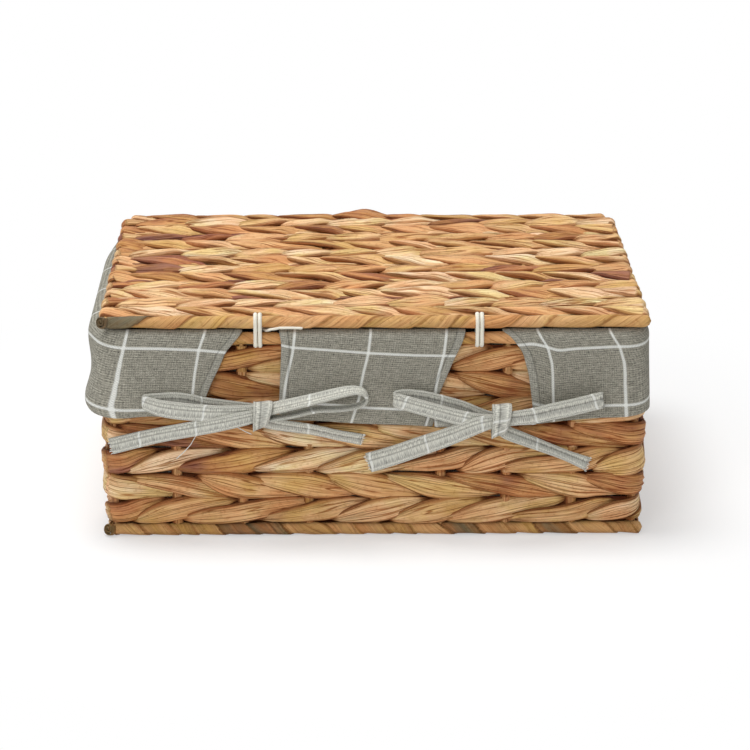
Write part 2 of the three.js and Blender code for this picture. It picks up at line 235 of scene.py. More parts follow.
def section_places(section, flat):
    """Places round a strand's section: across it from -1 to 1, and the share of its height there."""
    angle = (np.arange(section) + 0.5) / section * FULL_TURN
    across = np.sign(np.cos(angle)) * np.abs(np.cos(angle)) ** flat
    return across, np.sign(np.sin(angle)) * np.abs(np.sin(angle)) ** flat


def strand(surface, centre, normal, half_width, half_thick, values, section,
           closed=False, flat=1.0, pleats=()):
    """Adds a flattened strand that follows a line of centres, with its broad face along the normals."""
    ends = centre[[-1, *range(len(centre)), 0]] if closed else centre
    along = np.gradient(ends, axis=0)
    along = unit(along[1:-1] if closed else along)
    side = unit(np.cross(normal, along))
    normal = np.cross(along, side)
    across, height = section_places(section, flat)
    thick = height * half_thick[:, None]
    for pleat in pleats:
        thick = thick * (1 - PLEAT_DEPTH * gauss(across - pleat[:, None], PLEAT_WIDTH))
    rings = centre[:, None] + side[:, None] * (half_width[:, None] * across)[..., None]
    rings = rings + normal[:, None] * thick[..., None]
    length = lengths_along(ends[1:] if closed else ends)
    uv = np.stack(np.meshgrid(length, np.arange(section + 1) / section, indexing="ij"), -1)
    columns = {key: np.asarray(value).reshape(len(centre), -1) for key, value in values.items()}
    surface.add(rings, uv, columns, (closed, True))


# Twined courses: two strands that cross between the stakes

@dataclass
class Leaf:
    """The sizes of a strand in a twined course, and how finely it is drawn."""

    half_width: float
    half_thick: float
    rise: float
    swing: float
    steps: int
    section: int
    stray: float = 1.0
    dark: float = 0.03
    darkest: float = 0.17


WALL_LEAF = Leaf(7.4 * MM, 2.4 * MM, 6.2 * MM, 2.3 * MM, 14, 24, 1.35, 0.03, 0.2)
LID_LEAF = Leaf(8.4 * MM, 2.9 * MM, 6.4 * MM, 1.9 * MM, 14, 24, 2.0, 0.06, 0.06)
BASE_LEAF = Leaf(6.8 * MM, 1.6 * MM, 5.6 * MM, 2.2 * MM, 7, 10)
EDGE_LEAF = Leaf(5.2 * MM, 1.9 * MM, 2.0 * MM, 2.0 * MM, 12, 16)
LEAF_TIP = 0.93
NARROWEST = 0.14
BEHIND_WIDTH = 0.6
TURN_PLACE = 0.86
DIVE_START = 0.7
LEAVING_SINK = 1.8 * MM
LEAVING_REACH = 0.5
ROUND_TILT = 0.32
UNEVEN_BAYS = 0.26
FINE_STEPS = 4
LIFT_STRAY = 0.8 * MM
TILT_STRAY = 0.1
WIDTH_STRAY = 0.16
FINE_WIDTH_STRAY = 0.04
THICK_STRAY = 0.14
THIN_TIP = 0.35
PLEAT_STRAY = 0.18
# Painted shade: where along a leaf (0 at its middle, 1 where it lies behind) a strand starts to darken
# towards its tip, and over what share
SHADE_START = 0.6
SHADE_REACH = 0.3
PLEAT_PLACES = (-0.45, 0.1, 0.55)
COURSE_PITCH = middle("wall_course_2")[2] - middle("wall_course_1")[2]


KEPT_SHADE = 0.3
REDDISH_BELOW = 0.44
DARK_SPREAD = 0.12
REDDISH = (0.28, 0.42)
STRAW = (0.48, 0.95)


def leaf_tones(rng, number, leaf):
    """A shade from dark to pale for each leaf of a strand. A strand keeps its shade until it is spliced."""
    tones = []
    for _ in range(int(number.max()) + 1):
        kind = rng.random()
        if tones and kind < KEPT_SHADE:
            tones.append(tones[-1])
        elif kind < KEPT_SHADE + leaf.dark:
            tones.append(leaf.darkest + rng.uniform(0.0, DARK_SPREAD))
        elif kind < REDDISH_BELOW:
            tones.append(rng.uniform(*REDDISH))
        else:
            tones.append(rng.uniform(*STRAW))
    return np.array(tones)[number]


def twine(rng, place, bay, phase, line, out, up, leaf, lean, period=None):
    """The centres, normals, half sizes, values and pleats of one strand of a pair along a line."""
    from_stake = (bay + phase + 1) % 2 - 1
    behind = np.abs(from_stake)
    fine = period and period * FINE_STEPS
    dive = smooth((behind - DIVE_START) / (1 - DIVE_START))
    leaving = smooth(from_stake / LEAVING_REACH) * (1 - dive)
    depth = leaf.swing * (1 - 2 * dive) - LEAVING_SINK * leaving
    slant = np.interp(from_stake, (-1, -TURN_PLACE, TURN_PLACE, 1), (0, -1, 1, 0))
    lift = lean * leaf.rise * slant + drift(rng, place, LIFT_STRAY * leaf.stray, period)
    centre = line + out * depth[:, None] + up * lift[:, None]
    tilt = drift(rng, place, TILT_STRAY * leaf.stray, period) + lean * ROUND_TILT * slant
    normal = unit(out + up * tilt[:, None])
    lens = np.maximum(1 - (behind / LEAF_TIP) ** 2, NARROWEST)
    lens = np.maximum(lens, BEHIND_WIDTH * smooth((behind - TURN_PLACE) / (1 - TURN_PLACE)))
    uneven = drift(rng, place, WIDTH_STRAY * leaf.stray, period)
    uneven = uneven + drift(rng, place * FINE_STEPS, FINE_WIDTH_STRAY, fine)
    wide = leaf.half_width * lens * (1 + uneven)
    thick = leaf.half_thick * (THIN_TIP + (1 - THIN_TIP) * lens)
    thick = thick * (1 + drift(rng, place * FINE_STEPS, THICK_STRAY, fine))
    tones = leaf_tones(rng, np.floor((bay + phase + 1) / 2).astype(int), leaf)
    # Painted shade: each leaf is darkened towards its tip, where it goes under its neighbour
    tip_shade = smooth((behind - SHADE_START) / SHADE_REACH)
    values = {"tone": tones, "painted_light": 1 - tip_shade}
    pleats = [spot + drift(rng, place * 2, PLEAT_STRAY, period and period * 2) for spot in PLEAT_PLACES]
    return centre, normal, wide, thick, values, pleats


CORE_DEPTH = 1.2 * MM
CORE_HALF_THICK = 0.5 * MM
CORE_TONE = 0.4
# Painted shade: how dark the cores are made, for the shade between the leaves
CORE_PAINTED_SHADE = 0.25
CORE_SECTION = 8


def core(surface, line, out, half_width, closed=False):
    """The flat stems inside a course, seen only between its leaves, darkened with painted shade for the gaps.
    """
    whole = np.ones(len(line))
    values = {"tone": CORE_TONE * whole, "painted_light": CORE_PAINTED_SHADE * whole}
    strand(surface, line - out * CORE_DEPTH, out, half_width * whole, CORE_HALF_THICK * whole, values,
           closed=closed, section=CORE_SECTION)


STAKE_HALF_WIDTH = 3.4 * MM
STAKE_HALF_THICK = 2.5 * MM
STAKE_TONES = (0.4, 0.9)
# Painted shade: how dark the stake wraps are made, for the shade between the courses
STAKE_PAINTED_SHADE = 0.4
STAKE_SECTION = 10


def wound_stakes(surface, rng, height):
    """The strips wound round the stakes, seen between a course and its neighbours, darkened with painted
    shade.
    """
    for length in STAKE_LENGTHS[:-1]:
        point, out = on_loop(np.array([length, length]))
        line = point + UP * np.array([[height - COURSE_PITCH / 2], [height + COURSE_PITCH / 2]])
        whole = np.ones(2)
        values = {"tone": rng.uniform(*STAKE_TONES) * whole, "painted_light": STAKE_PAINTED_SHADE * whole}
        strand(surface, line, out, STAKE_HALF_WIDTH * whole, STAKE_HALF_THICK * whole, values, STAKE_SECTION)


END_BULGE = 2.0 * MM
END_BULGE_START = 24 * MM
END_BULGE_BLEND = 18 * MM
BULGE_COURSE = 3
BULGE_REACH = 2


def end_bulge(line, number):
    """How far a course stands out round the ends of the basket, most between its base and its cuff."""
    at_end = smooth((np.abs(line[:, 0]) - HALF_X + END_BULGE_START) / END_BULGE_BLEND)
    return END_BULGE * at_end * gauss(number - BULGE_COURSE, BULGE_REACH)


def wall_course(number):
    name = f"wall_course_{number}"
    surface = Surface()
    lean = 1 if number % 2 else -1
    place = np.arange(LOOP_BAYS * WALL_LEAF.steps) / WALL_LEAF.steps
    bay = place + drift(chance(6, number), place, UNEVEN_BAYS, LOOP_BAYS)
    line, out = on_loop(np.interp(place, np.arange(LOOP_BAYS + 1), STAKE_LENGTHS))
    line = line + UP * middle(name)[2] + out * end_bulge(line, number)[:, None]
    for phase in (0, 1):
        rng = chance(1, number, phase)
        *path, pleats = twine(rng, place, bay, phase, line, out, UP, WALL_LEAF, lean, LOOP_BAYS)
        strand(surface, *path, closed=True, section=WALL_LEAF.section, pleats=pleats)
    core(surface, line, out, COURSE_PITCH / 2, closed=True)
    wound_stakes(surface, chance(7, number), middle(name)[2])
    surface.build(f"woven_{name}", HYACINTH, "basket", [name])


END_STEPS = 8
CORE_LAP = 0.3 * MM
TURN_BAYS = 0.5


def under_pair(surface, rng, place, bay, line, leaf, lean):
    """The leaves that show on the underside of a flat course."""
    for phase in (0, 1):
        *path, pleats = twine(rng, place, bay, phase, line, -UP, BACK, leaf, lean)
        path[0][:, 2] = np.minimum(path[0][:, 2], line[:, 2])
        for half_size in path[2:4]:
            half_size[[0, -1]] = 0
        strand(surface, *path, section=leaf.section, pleats=pleats)


def flat_course(name, number, bays, half_length, leaf, lean, body, out, bulge=None):
    """A course of a flat panel: the pair is one long strand that turns round the wires at its ends."""
    surface = Surface()
    rng = chance(2, number, bays)
    place = np.linspace(0, bays, bays * leaf.steps + 1)
    line = np.zeros((len(place), 3)) + middle(name)
    line[:, 0] = half_length * (2 * place / bays - 1)
    bay = place + drift(rng, place, UNEVEN_BAYS) * np.sin(HALF_TURN * place / bays)
    there = twine(rng, place, bay, number % 2, line, out, BACK, leaf, lean)
    back = twine(rng, place, bay, 1 + number % 2, line, out, BACK, leaf, lean)
    core(surface, line, np.broadcast_to(out, line.shape), size(name)[1] / 2 + CORE_LAP)
    if out is UP:
        under_pair(surface, chance(8, number), place, bay, line, leaf, lean)
        turning = smooth((np.abs(place - bays / 2) - bays / 2 + TURN_BAYS) / TURN_BAYS)
        for path in (there, back):
            path[0][:, 2] = np.maximum(path[0][:, 2], line[:, 2] - leaf.swing * turning)
    if bulge:
        bulge(line, there)
    back = [part[::-1] for part in back[:4]] + [{key: value[::-1] for key, value in back[4].items()}]
    pieces = [there[:5], course_end(there, back, 1, leaf), back, course_end(back, there, -1, leaf)]
    centre, normal, wide, thick = [np.concatenate([piece[k] for piece in pieces]) for k in range(4)]
    values = {key: np.concatenate([piece[4][key] for piece in pieces]) for key in ("tone", "painted_light")}
    round_place = np.linspace(0, 4 * bays, len(centre), endpoint=False)
    pleats = [spot + drift(rng, round_place, PLEAT_STRAY, 4 * bays) for spot in PLEAT_PLACES]
    strand(surface, centre, normal, wide, thick, values, closed=True, section=leaf.section, pleats=pleats)
    surface.build(f"woven_{name}", HYACINTH, body, [name])


def course_end(before, after, side, leaf):
    """The half turn of a strand round the end wire, from its last place before to its first place after."""
    angle = np.linspace(0, HALF_TURN, END_STEPS + 2)[1:-1]
    share = angle / HALF_TURN
    start, end = before[0][-1], after[0][0]
    centre = start * (1 - share[:, None]) + end * share[:, None]
    reach = (start[2] - end[2]) / 2
    centre[:, 2] = (start[2] + end[2]) / 2 + reach * np.cos(angle)
    centre[:, 0] += side * leaf.swing * np.sin(angle)
    normal = np.stack([side * np.sin(angle), 0 * angle, np.sign(reach) * np.cos(angle)], -1)
    wide = before[2][-1] * (1 - share) + after[2][0] * share
    thick = before[3][-1] * (1 - share) + after[3][0] * share
    values = {"tone": np.full(END_STEPS, before[4]["tone"][-1]), "painted_light": np.ones(END_STEPS)}
    return centre, normal, wide, thick, values


RAISED_PLACE = -2 * MM
RAISED_REACH = 20 * MM
RAISED_HEIGHT = 1.6 * MM
RAISED_WIDTH = 0.8
RAISED_TONE = 0.26
RAISED_SHARE = 0.2


def raised_strand(line, path):
    """One strand of the lid's far edge stands up near the middle."""
    near = gauss(line[:, 0] - RAISED_PLACE, RAISED_REACH)
    path[0][:, 2] += RAISED_HEIGHT * near
    path[2][:] *= 1 + RAISED_WIDTH * near
    path[3][:] *= 1 + RAISED_WIDTH * near
    path[4]["tone"][near > RAISED_SHARE] = RAISED_TONE


# Wrapped rolls: a strip wound round a wire, each turn lapping over the one before

TUBE_STEP = 1.1 * MM
TUBE_POINTS = 24
LAP_HEIGHT = 0.8 * MM
ROUND_END = 3.2 * MM
LID_ROLL_PITCH = 28 * MM
RIM_PITCH = 44 * MM
BASE_ROLL_PITCH = 19 * MM
WINDING_START = -0.25
WINDING_STRAY = 0.32
LUMP_HEIGHT = 0.22 * MM
LAP_SHAPE = 1.5
LEAST_END = 0.002
RIM_SWELL = 0.1 * MM


def wrapped_tube(surface, rng, line_at, length, hand, pitch, tones, closed=False, swell=0.0):
    """Winds a strip round a line. line_at gives points, the way out and the way up at lengths along it."""
    turns = round(length / pitch)
    along = np.linspace(0, length, int(length / TUBE_STEP), endpoint=not closed)
    point, out, up = line_at(along)
    period = turns if closed else None
    wound = along / length * turns
    count = WINDING_START + wound + drift(rng, wound, WINDING_STRAY, period)
    angle = np.linspace(0, FULL_TURN, TUBE_POINTS, endpoint=False)
    winding = count[:, None] + hand * angle / FULL_TURN
    lumps = drift(rng, wound * 2, LUMP_HEIGHT, period and 2 * period)
    radius = ROLL_RADIUS + swell - LAP_HEIGHT * (1 - winding % 1) ** LAP_SHAPE + lumps[:, None]
    if not closed:
        gap = np.minimum(along, length - along)
        radius = radius * np.sqrt(1 - (1 - np.clip(gap / ROUND_END, LEAST_END, 1)) ** 2)[:, None]
    radial = out[:, None] * np.cos(angle)[None, :, None] + up[:, None] * np.sin(angle)[None, :, None]
    points = point[:, None] + radial * radius[..., None]
    tone_row = tones(rng, turns + 3)
    tone = tone_row[np.clip(np.floor(winding).astype(int) + 1, 0, turns + 2)]
    rows = len(along) + closed
    seam_angle = np.linspace(0, FULL_TURN, TUBE_POINTS + 1)
    seam_count = np.append(count, count[0] + turns)[:rows]
    uv = np.stack([
        np.broadcast_to(seam_angle * ROLL_RADIUS, (rows, TUBE_POINTS + 1)),
        (seam_count[:, None] + hand * seam_angle / FULL_TURN) / 2,
    ], -1)
    surface.add(points, uv, {"tone": tone, "painted_light": 1.0}, (closed, True))


def straight_line(centre, half):
    def line_at(along):
        point = centre + RIGHT * (along - half)[:, None]
        return point, np.broadcast_to(BACK, point.shape), np.broadcast_to(-UP, point.shape)
    return line_at


COIL_TURNS = 2.2
COIL_STEPS = 60
COIL_HALF_WIDTH = 1.9 * MM
COIL_HALF_THICK = 0.55 * MM
COIL_AXIS = unit(np.array([-0.62, -0.72, 0.3]))
COIL_INSET = 3.6 * MM
COIL_START = 2.4
COIL_CLOSE = 0.88
COIL_RISE = 0.8 * MM
COIL_SECTION = 10
COIL_FLAT = 0.7


def coil_end(surface, end, tone):
    """The wound end of a roll: the strip goes on inwards as a flat coil that faces the corner."""
    share = np.linspace(0, 1, COIL_STEPS)
    angle = COIL_TURNS * FULL_TURN * share + COIL_START
    radius = ROLL_RADIUS * (1 - COIL_CLOSE * share)
    level = unit(np.cross(COIL_AXIS, UP))
    steep = np.cross(level, COIL_AXIS)
    radial = level * np.cos(angle)[:, None] + steep * np.sin(angle)[:, None]
    rise = COIL_INSET / 3 + COIL_RISE * share
    centre = end + radial * radius[:, None] + COIL_AXIS * rise[:, None]
    wide = np.full(COIL_STEPS, COIL_HALF_WIDTH)
    thick = np.full(COIL_STEPS, COIL_HALF_THICK)
    values = {"tone": np.full(COIL_STEPS, tone), "painted_light": np.ones(COIL_STEPS)}
    strand(surface, centre, radial, wide, thick, values, COIL_SECTION, flat=COIL_FLAT)


def straight_roll(name, number, body, hand, pitch, tones, coil_tone):
    """A wrapped edge with a coil at its left end."""
    surface = Surface()
    half = size(name)[0] / 2
    inset = COIL_INSET / 2
    line = straight_line(middle(name) + RIGHT * inset, half - inset)
    wrapped_tube(surface, chance(3, number), line, 2 * (half - inset), hand, pitch, tones)
    coil_end(surface, middle(name) - RIGHT * (half - COIL_INSET), coil_tone)
    surface.build(f"wrapped_{name}", ROLL, body, [name])


def rim_roll():
    surface = Surface()

    def line_at(along):
        point, out = on_loop(along)
        return point + UP * RIM_Z, -out, np.broadcast_to(-UP, point.shape)

    wrapped_tube(surface, chance(4), line_at, LOOP, 1, RIM_PITCH, plain_tones, closed=True, swell=RIM_SWELL)
    surface.build("wrapped_rim_roll", ROLL, "basket", ["rim_roll"])


PLAIN_TONES = (0.5, 0.85)
LID_EDGE_TONES = (0.58, 0.86)
GREY_GREEN_TURN = 0.1
REDDISH_TURN = 0.4
REDDISH_TURNS = 3
BASE_GREEN_SHARE = 0.36
BASE_GREENS = (0.14, 0.28)
BASE_STRAWS = (0.5, 0.8)


def plain_tones(rng, count):
    return rng.uniform(*PLAIN_TONES, count)


def lid_edge_tones(rng, count):
    """Straw, with grey green turns at the left end and a reddish one at the right end."""
    tones = rng.uniform(*LID_EDGE_TONES, count)
    tones[0] = GREY_GREEN_TURN
    tones[-REDDISH_TURNS:] = REDDISH_TURN
    return tones


def base_tones(rng, count):
    """Straw, with a grey green turn here and there."""
    green = rng.random(count) < BASE_GREEN_SHARE
    return np.where(green, rng.uniform(*BASE_GREENS, count), rng.uniform(*BASE_STRAWS, count))


# Hinge cords: plies laid round a path

PLY_COUNT = 3
PLY_RADIUS = 0.74 * MM
PLY_OFFSET = 0.62 * MM
PLY_PITCH = 4.6 * MM
PLY_SECTION = 7
CORD_STEP = 0.5 * MM
CORD_RADIUS = PLY_RADIUS + PLY_OFFSET
CORD_SUNK = 0.9 * MM
CORD_REACH = ROLL_RADIUS + CORD_RADIUS - CORD_SUNK
CORD_LANE = size("hinge_cord_left")[0] / 2 - CORD_RADIUS + 0.5 * MM
CORD_ASIDE = RIGHT + 0.31 * UP + 0.17 * FRONT
CORD_ARC_POINTS = 13
CROSS_START = 0.9
CROSS_REACH = 0.1
KNOT_SCALE = 0.75 * MM
TREFOIL_POINTS = 25
TREFOIL_DEPTH = 1.2


def even(points, step):
    """The same line with points a step apart."""
    points = np.array(points, float)
    lengths = lengths_along(points)
    at = np.linspace(0, lengths[-1], max(4, int(lengths[-1] / step)))
    return np.stack([np.interp(at, lengths, points[:, k]) for k in range(3)], -1)


TAIL_SHARE = 0.66


def rope(surface, path, share=1.0):
    """Adds plies laid round a path. A share below 1 makes a thinner rope."""
    path = even(path, CORD_STEP)
    along = unit(np.gradient(path, axis=0))
    side = unit(np.cross(along, CORD_ASIDE))
    over = np.cross(along, side)
    turn = np.arange(len(path)) * CORD_STEP / (PLY_PITCH * share) * FULL_TURN
    for ply in range(PLY_COUNT):
        angle = turn + FULL_TURN * ply / PLY_COUNT
        radial = side * np.cos(angle)[:, None] + over * np.sin(angle)[:, None]
        taper = np.full(len(path), PLY_RADIUS * share)
        taper[[0, -1]] = 0
        centre = path + radial * PLY_OFFSET * share
        strand(surface, centre, radial, taper, taper, {"painted_light": 1 + 0 * taper}, section=PLY_SECTION)


def cord_turn(x_start, x_end):
    """One turn round the two rolls, from the middle of the inside down, forward, up and back over the lid."""
    inside = (HINGE_Y + CORD_REACH, (RIM_Z + LID_Z) / 2)
    path = [inside]
    for height, start, end in ((RIM_Z, 0, -HALF_TURN), (LID_Z, HALF_TURN, 0)):
        for angle in np.linspace(start, end, CORD_ARC_POINTS):
            path.append((HINGE_Y + CORD_REACH * math.cos(angle), height + CORD_REACH * math.sin(angle)))
    path.append(inside)
    shift = np.clip((np.linspace(0, 1, len(path)) - CROSS_START) / CROSS_REACH, 0, 1)
    return [(x_start + (x_end - x_start) * s, y, z) for (y, z), s in zip(path, shift)]


def hinge_cord(side, tail=None):
    name = f"hinge_cord_{side}"
    x = middle(name)[0]
    surface = Surface()
    first = cord_turn(x - CORD_LANE, x + CORD_LANE)
    second = cord_turn(x + CORD_LANE, x + CORD_LANE)
    rope(surface, first + second[1:])
    turn = np.linspace(0, FULL_TURN, TREFOIL_POINTS)
    trefoil = np.stack([
        np.sin(turn) + 2 * np.sin(2 * turn),
        -TREFOIL_DEPTH * np.sin(3 * turn),
        np.cos(turn) - 2 * np.cos(2 * turn),
    ], -1)
    rope(surface, np.array([x, HINGE_Y + CORD_REACH, (RIM_Z + LID_Z) / 2]) + trefoil * KNOT_SCALE)
    if tail:
        rope(surface, np.array(tail) * MM, TAIL_SHARE)
    surface.build(f"cotton_{name}", COTTON, "hinge_cords", [name])


# Cloth liner

FOLD_RADIUS = 5.4 * MM
LIP_DROP = 7 * MM
LIP_ROWS = 3
FOLD_ROWS = 12
FALL_ROWS = 26
CHECK_WIDTH = 45.2 * MM
CHECK_HEIGHT = 36.6 * MM
CENTER_CHECK_HEIGHT = 33.8 * MM
CLOTH_THICKNESS = 0.7 * MM
PUFF_FALL = 0.62
FALL_CROWDING = 0.9
EDGE_ROUNDS = 3
GATHER_FALL = 0.3

# Edges of the cuff at its two notches, as heights above the floor and places to the right of the middle
LEFT_CUFF_EDGE = [(76, -107), (92.6, -100.6), (100.8, -97.3), (111.5, -92), (119.3, -88.7), (131, -79)]
CENTER_LEFT_EDGE = [(75, -57.3), (89, -57.4), (109, -56.5), (124.5, -55.9), (131, -57.2)]
CENTER_RIGHT_EDGE = [(71, 34.5), (93.3, 38.7), (103, 42.8), (114.8, 47.6), (123.3, 51.7), (131, 54.2)]
RIGHT_CUFF_EDGE = [
    (73, 95), (87.4, 94.2), (105, 91.8), (118, 88.3), (125.4, 83.4), (129, 79.8), (131, 76),
]

# Heights of the hem and of the upper check line across the hinge side
LEFT_HEM = [
    (-174, 82.5), (-167.7, 80.2), (-152.6, 79.3), (-143, 80.1), (-131.7, 80.5), (-120, 78.7), (-100, 78),
]
CENTER_HEM = [(-57, 77.6), (-31, 76.2), (-10, 74.8), (7, 74.1), (36, 72.7)]
RIGHT_HEM = [(84, 73.2), (112.4, 75.6), (136.4, 77.4), (149.5, 77.7), (162, 79.3), (172, 79.3)]
LEFT_LINE = [(-172, 124.5), (-163.4, 123.3), (-149.8, 122), (-128, 121.6), (-104.7, 120.6), (-88.7, 119)]
CENTER_LINE = [(-56, 123.5), (-49.4, 122), (-26.8, 120.3), (-3.3, 118.4), (23.5, 117), (48.6, 116.4)]
RIGHT_LINE = [
    (85.7, 123.1), (93, 124.3), (102.5, 122.1), (109, 119.5), (119.2, 120.8), (143.7, 122), (157, 122),
    (164, 124),
]
FAR_HEM = 78 * MM
FAR_LINE = 122 * MM

# How far the upright check lines lean to the right, by height
CENTER_LEAN = [(73, -8), (91, -2.4), (98, -1.6), (106, 0), (118, 2.9), (131, 4.4)]
RIGHT_LEAN = [(75, 1.2), (88, 0.6), (105, 0), (112, -0.6), (122, -3.4), (126.5, -6.5), (131, -9.4)]
LEFT_LEAN = [(78, -2.2), (87, -2.8), (95, -1.1), (105, 0), (121.5, 3), (131, 6.6)]
LEFT_CORNER_LEAN = [(78, 0.8), (88, 0.1), (100, 1.2), (112, 2.4), (122, 4.2), (131, 6.1)]
CENTER_CHECK = -52.1 * MM
RIGHT_CHECKS = (106.4 * MM, 149.5 * MM)
LEFT_CHECKS = (-153.5 * MM, -107.8 * MM)
CHECKS_ROUND = 17


def graph(pairs, at):
    """The height of a broken line, given in millimetres, at places along it."""
    pairs = np.array(pairs, float) * MM
    return np.interp(at, pairs[:, 0], pairs[:, 1])


def cuff_grid(left_edge, right_edge, columns, hem_at, puff_at, flare_at):
    """Rows over the rim and down the wall: lengths round the basket, heights, distances out and falls."""
    across = np.linspace(0, 1, columns)
    top_height = np.array([RIM_Z + FOLD_RADIUS])
    top_left, top_right = left_edge(top_height)[0], right_edge(top_height)[0]
    top = top_left + (top_right - top_left) * across
    puff = puff_at(top)
    level = np.zeros_like(top)
    rows = []
    for drop in np.linspace(-LIP_DROP, 0, LIP_ROWS, endpoint=False):
        rows.append((top, level + RIM_Z + drop, level - FOLD_RADIUS, level - FOLD_RADIUS * HALF_TURN - drop))
    for angle in np.linspace(HALF_TURN, 0, FOLD_ROWS, endpoint=False):
        height = np.array([RIM_Z + FOLD_RADIUS * math.sin(angle)])
        outer = angle < HALF_TURN / 2
        left, right = (left_edge(height)[0], right_edge(height)[0]) if outer else (top_left, top_right)
        outward = FOLD_RADIUS * math.cos(angle) + puff * max(0, math.cos(angle))
        rows.append((left + (right - left) * across, level + height, outward, level - FOLD_RADIUS * angle))
    for share in np.linspace(0, 1, FALL_ROWS) ** FALL_CROWDING:
        guess = top
        for _ in range(EDGE_ROUNDS):
            height = RIM_Z - share * (RIM_Z - hem_at(guess))
            left, right = left_edge(height[:1])[0], right_edge(height[-1:])[0]
            guess = left + (right - left) * across
        away = FOLD_RADIUS + puff_at(guess) * (1 - smooth(share / PUFF_FALL)) + flare_at(guess, share)
        rows.append((guess, height, away, RIM_Z - height))
    return [np.array(part) for part in zip(*rows)]


def cuff_piece(name, grid, check_at, line_at, check_height):
    """Builds a cuff panel from its grid, with the check's coordinates and the distance to its notch edges."""
    length, height, away, fall = grid
    point, out = on_loop(length)
    points = point + out * away[..., None] + UP * height[..., None]
    uv = np.stack([check_at(length, height), (line_at(length) - (RIM_Z - fall)) / check_height], -1)
    edge = np.minimum(length - length[:, :1], length[:, -1:] - length)
    surface = Surface()
    surface.add(points, uv, {"edge": edge})
    piece = surface.build(f"cloth_{name}", CLOTH, "basket", [name])
    thicken(piece, CLOTH_THICKNESS)
    return piece


def thicken(piece, thickness):
    solid = piece.modifiers.new("thickness", "SOLIDIFY")
    solid.thickness = thickness
    solid.offset = 0
    rounded = piece.modifiers.new("smooth", "SUBSURF")
    rounded.levels = 1
    rounded.render_levels = 1


@dataclass
class Gather:
    """Where a tie draws the cuff out: how far, its place and reach across, and its share of the fall."""

    height: float
    place: float
    reach: float
    share: float

    def rise(self, x, share):
        return self.height * gauss(x - self.place, self.reach) * gauss(share - self.share, GATHER_FALL)


CENTER_COLUMNS = 52
CENTER_SWELL = 3.0 * MM
CENTER_SWELL_SHAPE = 1.3
CENTER_WAVE = 0.5 * MM
CENTER_WAVE_LENGTH = 11 * MM
CENTER_WAVE_SHIFT = 0.6
CENTER_WAVE_LEAN = 1.4
CENTER_GATHERS = (Gather(1.5 * MM, -52 * MM, 12 * MM, 0.85), Gather(1.4 * MM, 33 * MM, 12 * MM, 0.8))


def center_cuff():
    def left(height):
        return front_length(graph(CENTER_LEFT_EDGE, height))

    def right(height):
        return front_length(graph(CENTER_RIGHT_EDGE, height))

    def hem(length):
        return graph(CENTER_HEM, length - FRONT_MIDDLE)

    def puff(length):
        return 0 * length

    def flare(length, share):
        x = length - FRONT_MIDDLE
        swell = CENTER_SWELL * share ** CENTER_SWELL_SHAPE
        turn = x / CENTER_WAVE_LENGTH + CENTER_WAVE_SHIFT + CENTER_WAVE_LEAN * share
        wave = CENTER_WAVE * share * np.sin(turn)
        return swell + wave + sum(gather.rise(x, share) for gather in CENTER_GATHERS)

    def check(length, height):
        return (length - FRONT_MIDDLE - graph(CENTER_LEAN, height) - CENTER_CHECK) / CHECK_WIDTH

    def line(length):
        return graph(CENTER_LINE, length - FRONT_MIDDLE)

    grid = cuff_grid(left, right, CENTER_COLUMNS, hem, puff, flare)
    return cuff_piece("liner_cuff_center", grid, check, line, CENTER_CHECK_HEIGHT)


WRAP_COLUMNS = 260
SIDE_START = 165 * MM
SIDE_BLEND = 60 * MM
LEFT_CORNER = 172 * MM
LEFT_REACH = 50 * MM
SIDE_MIDDLE = 215 * MM
SIDE_REACH = 80 * MM
FAR_SAG = 0.9 * MM
FAR_WAVE = 23 * MM
PUFF_HEIGHT = 7.2 * MM
PUFF_START = -157 * MM
PUFF_RISE = 20 * MM
PUFF_END = -310 * MM
PUFF_SETTLE = 80 * MM
WRAP_SWELL = 3.0 * MM
LEFT_SWELL = 8.2 * MM
RIGHT_SINK = 2.2 * MM
WRAP_SWELL_SHAPE = 1.2
TUCK_DEPTH = 4.4 * MM
TUCK_START = 0.84
TUCK_REACH = 0.16
SHORT_WAVE = 13 * MM
SHORT_WAVE_LEAN = 2.2
LONG_WAVE = 29 * MM
LONG_WAVE_SHARE = 0.7
LONG_WAVE_SHIFT = 1.3
TIGHT_WAVE_HEIGHT = 0.45 * MM
LOOSE_WAVE_HEIGHT = 0.75 * MM
LEFT_GATHER = Gather(1.5 * MM, -104 * MM, 14 * MM, 0.8)
RIGHT_GATHER = Gather(1.5 * MM, 97 * MM, 14 * MM, 0.85)
FOLD_HEIGHT = 1.3 * MM
FOLD_START = 86 * MM
FOLD_SLOPE = 95 * MM
FOLD_REACH = 5 * MM
FOLD_SHARE = 0.1
FOLD_FALL = 0.13


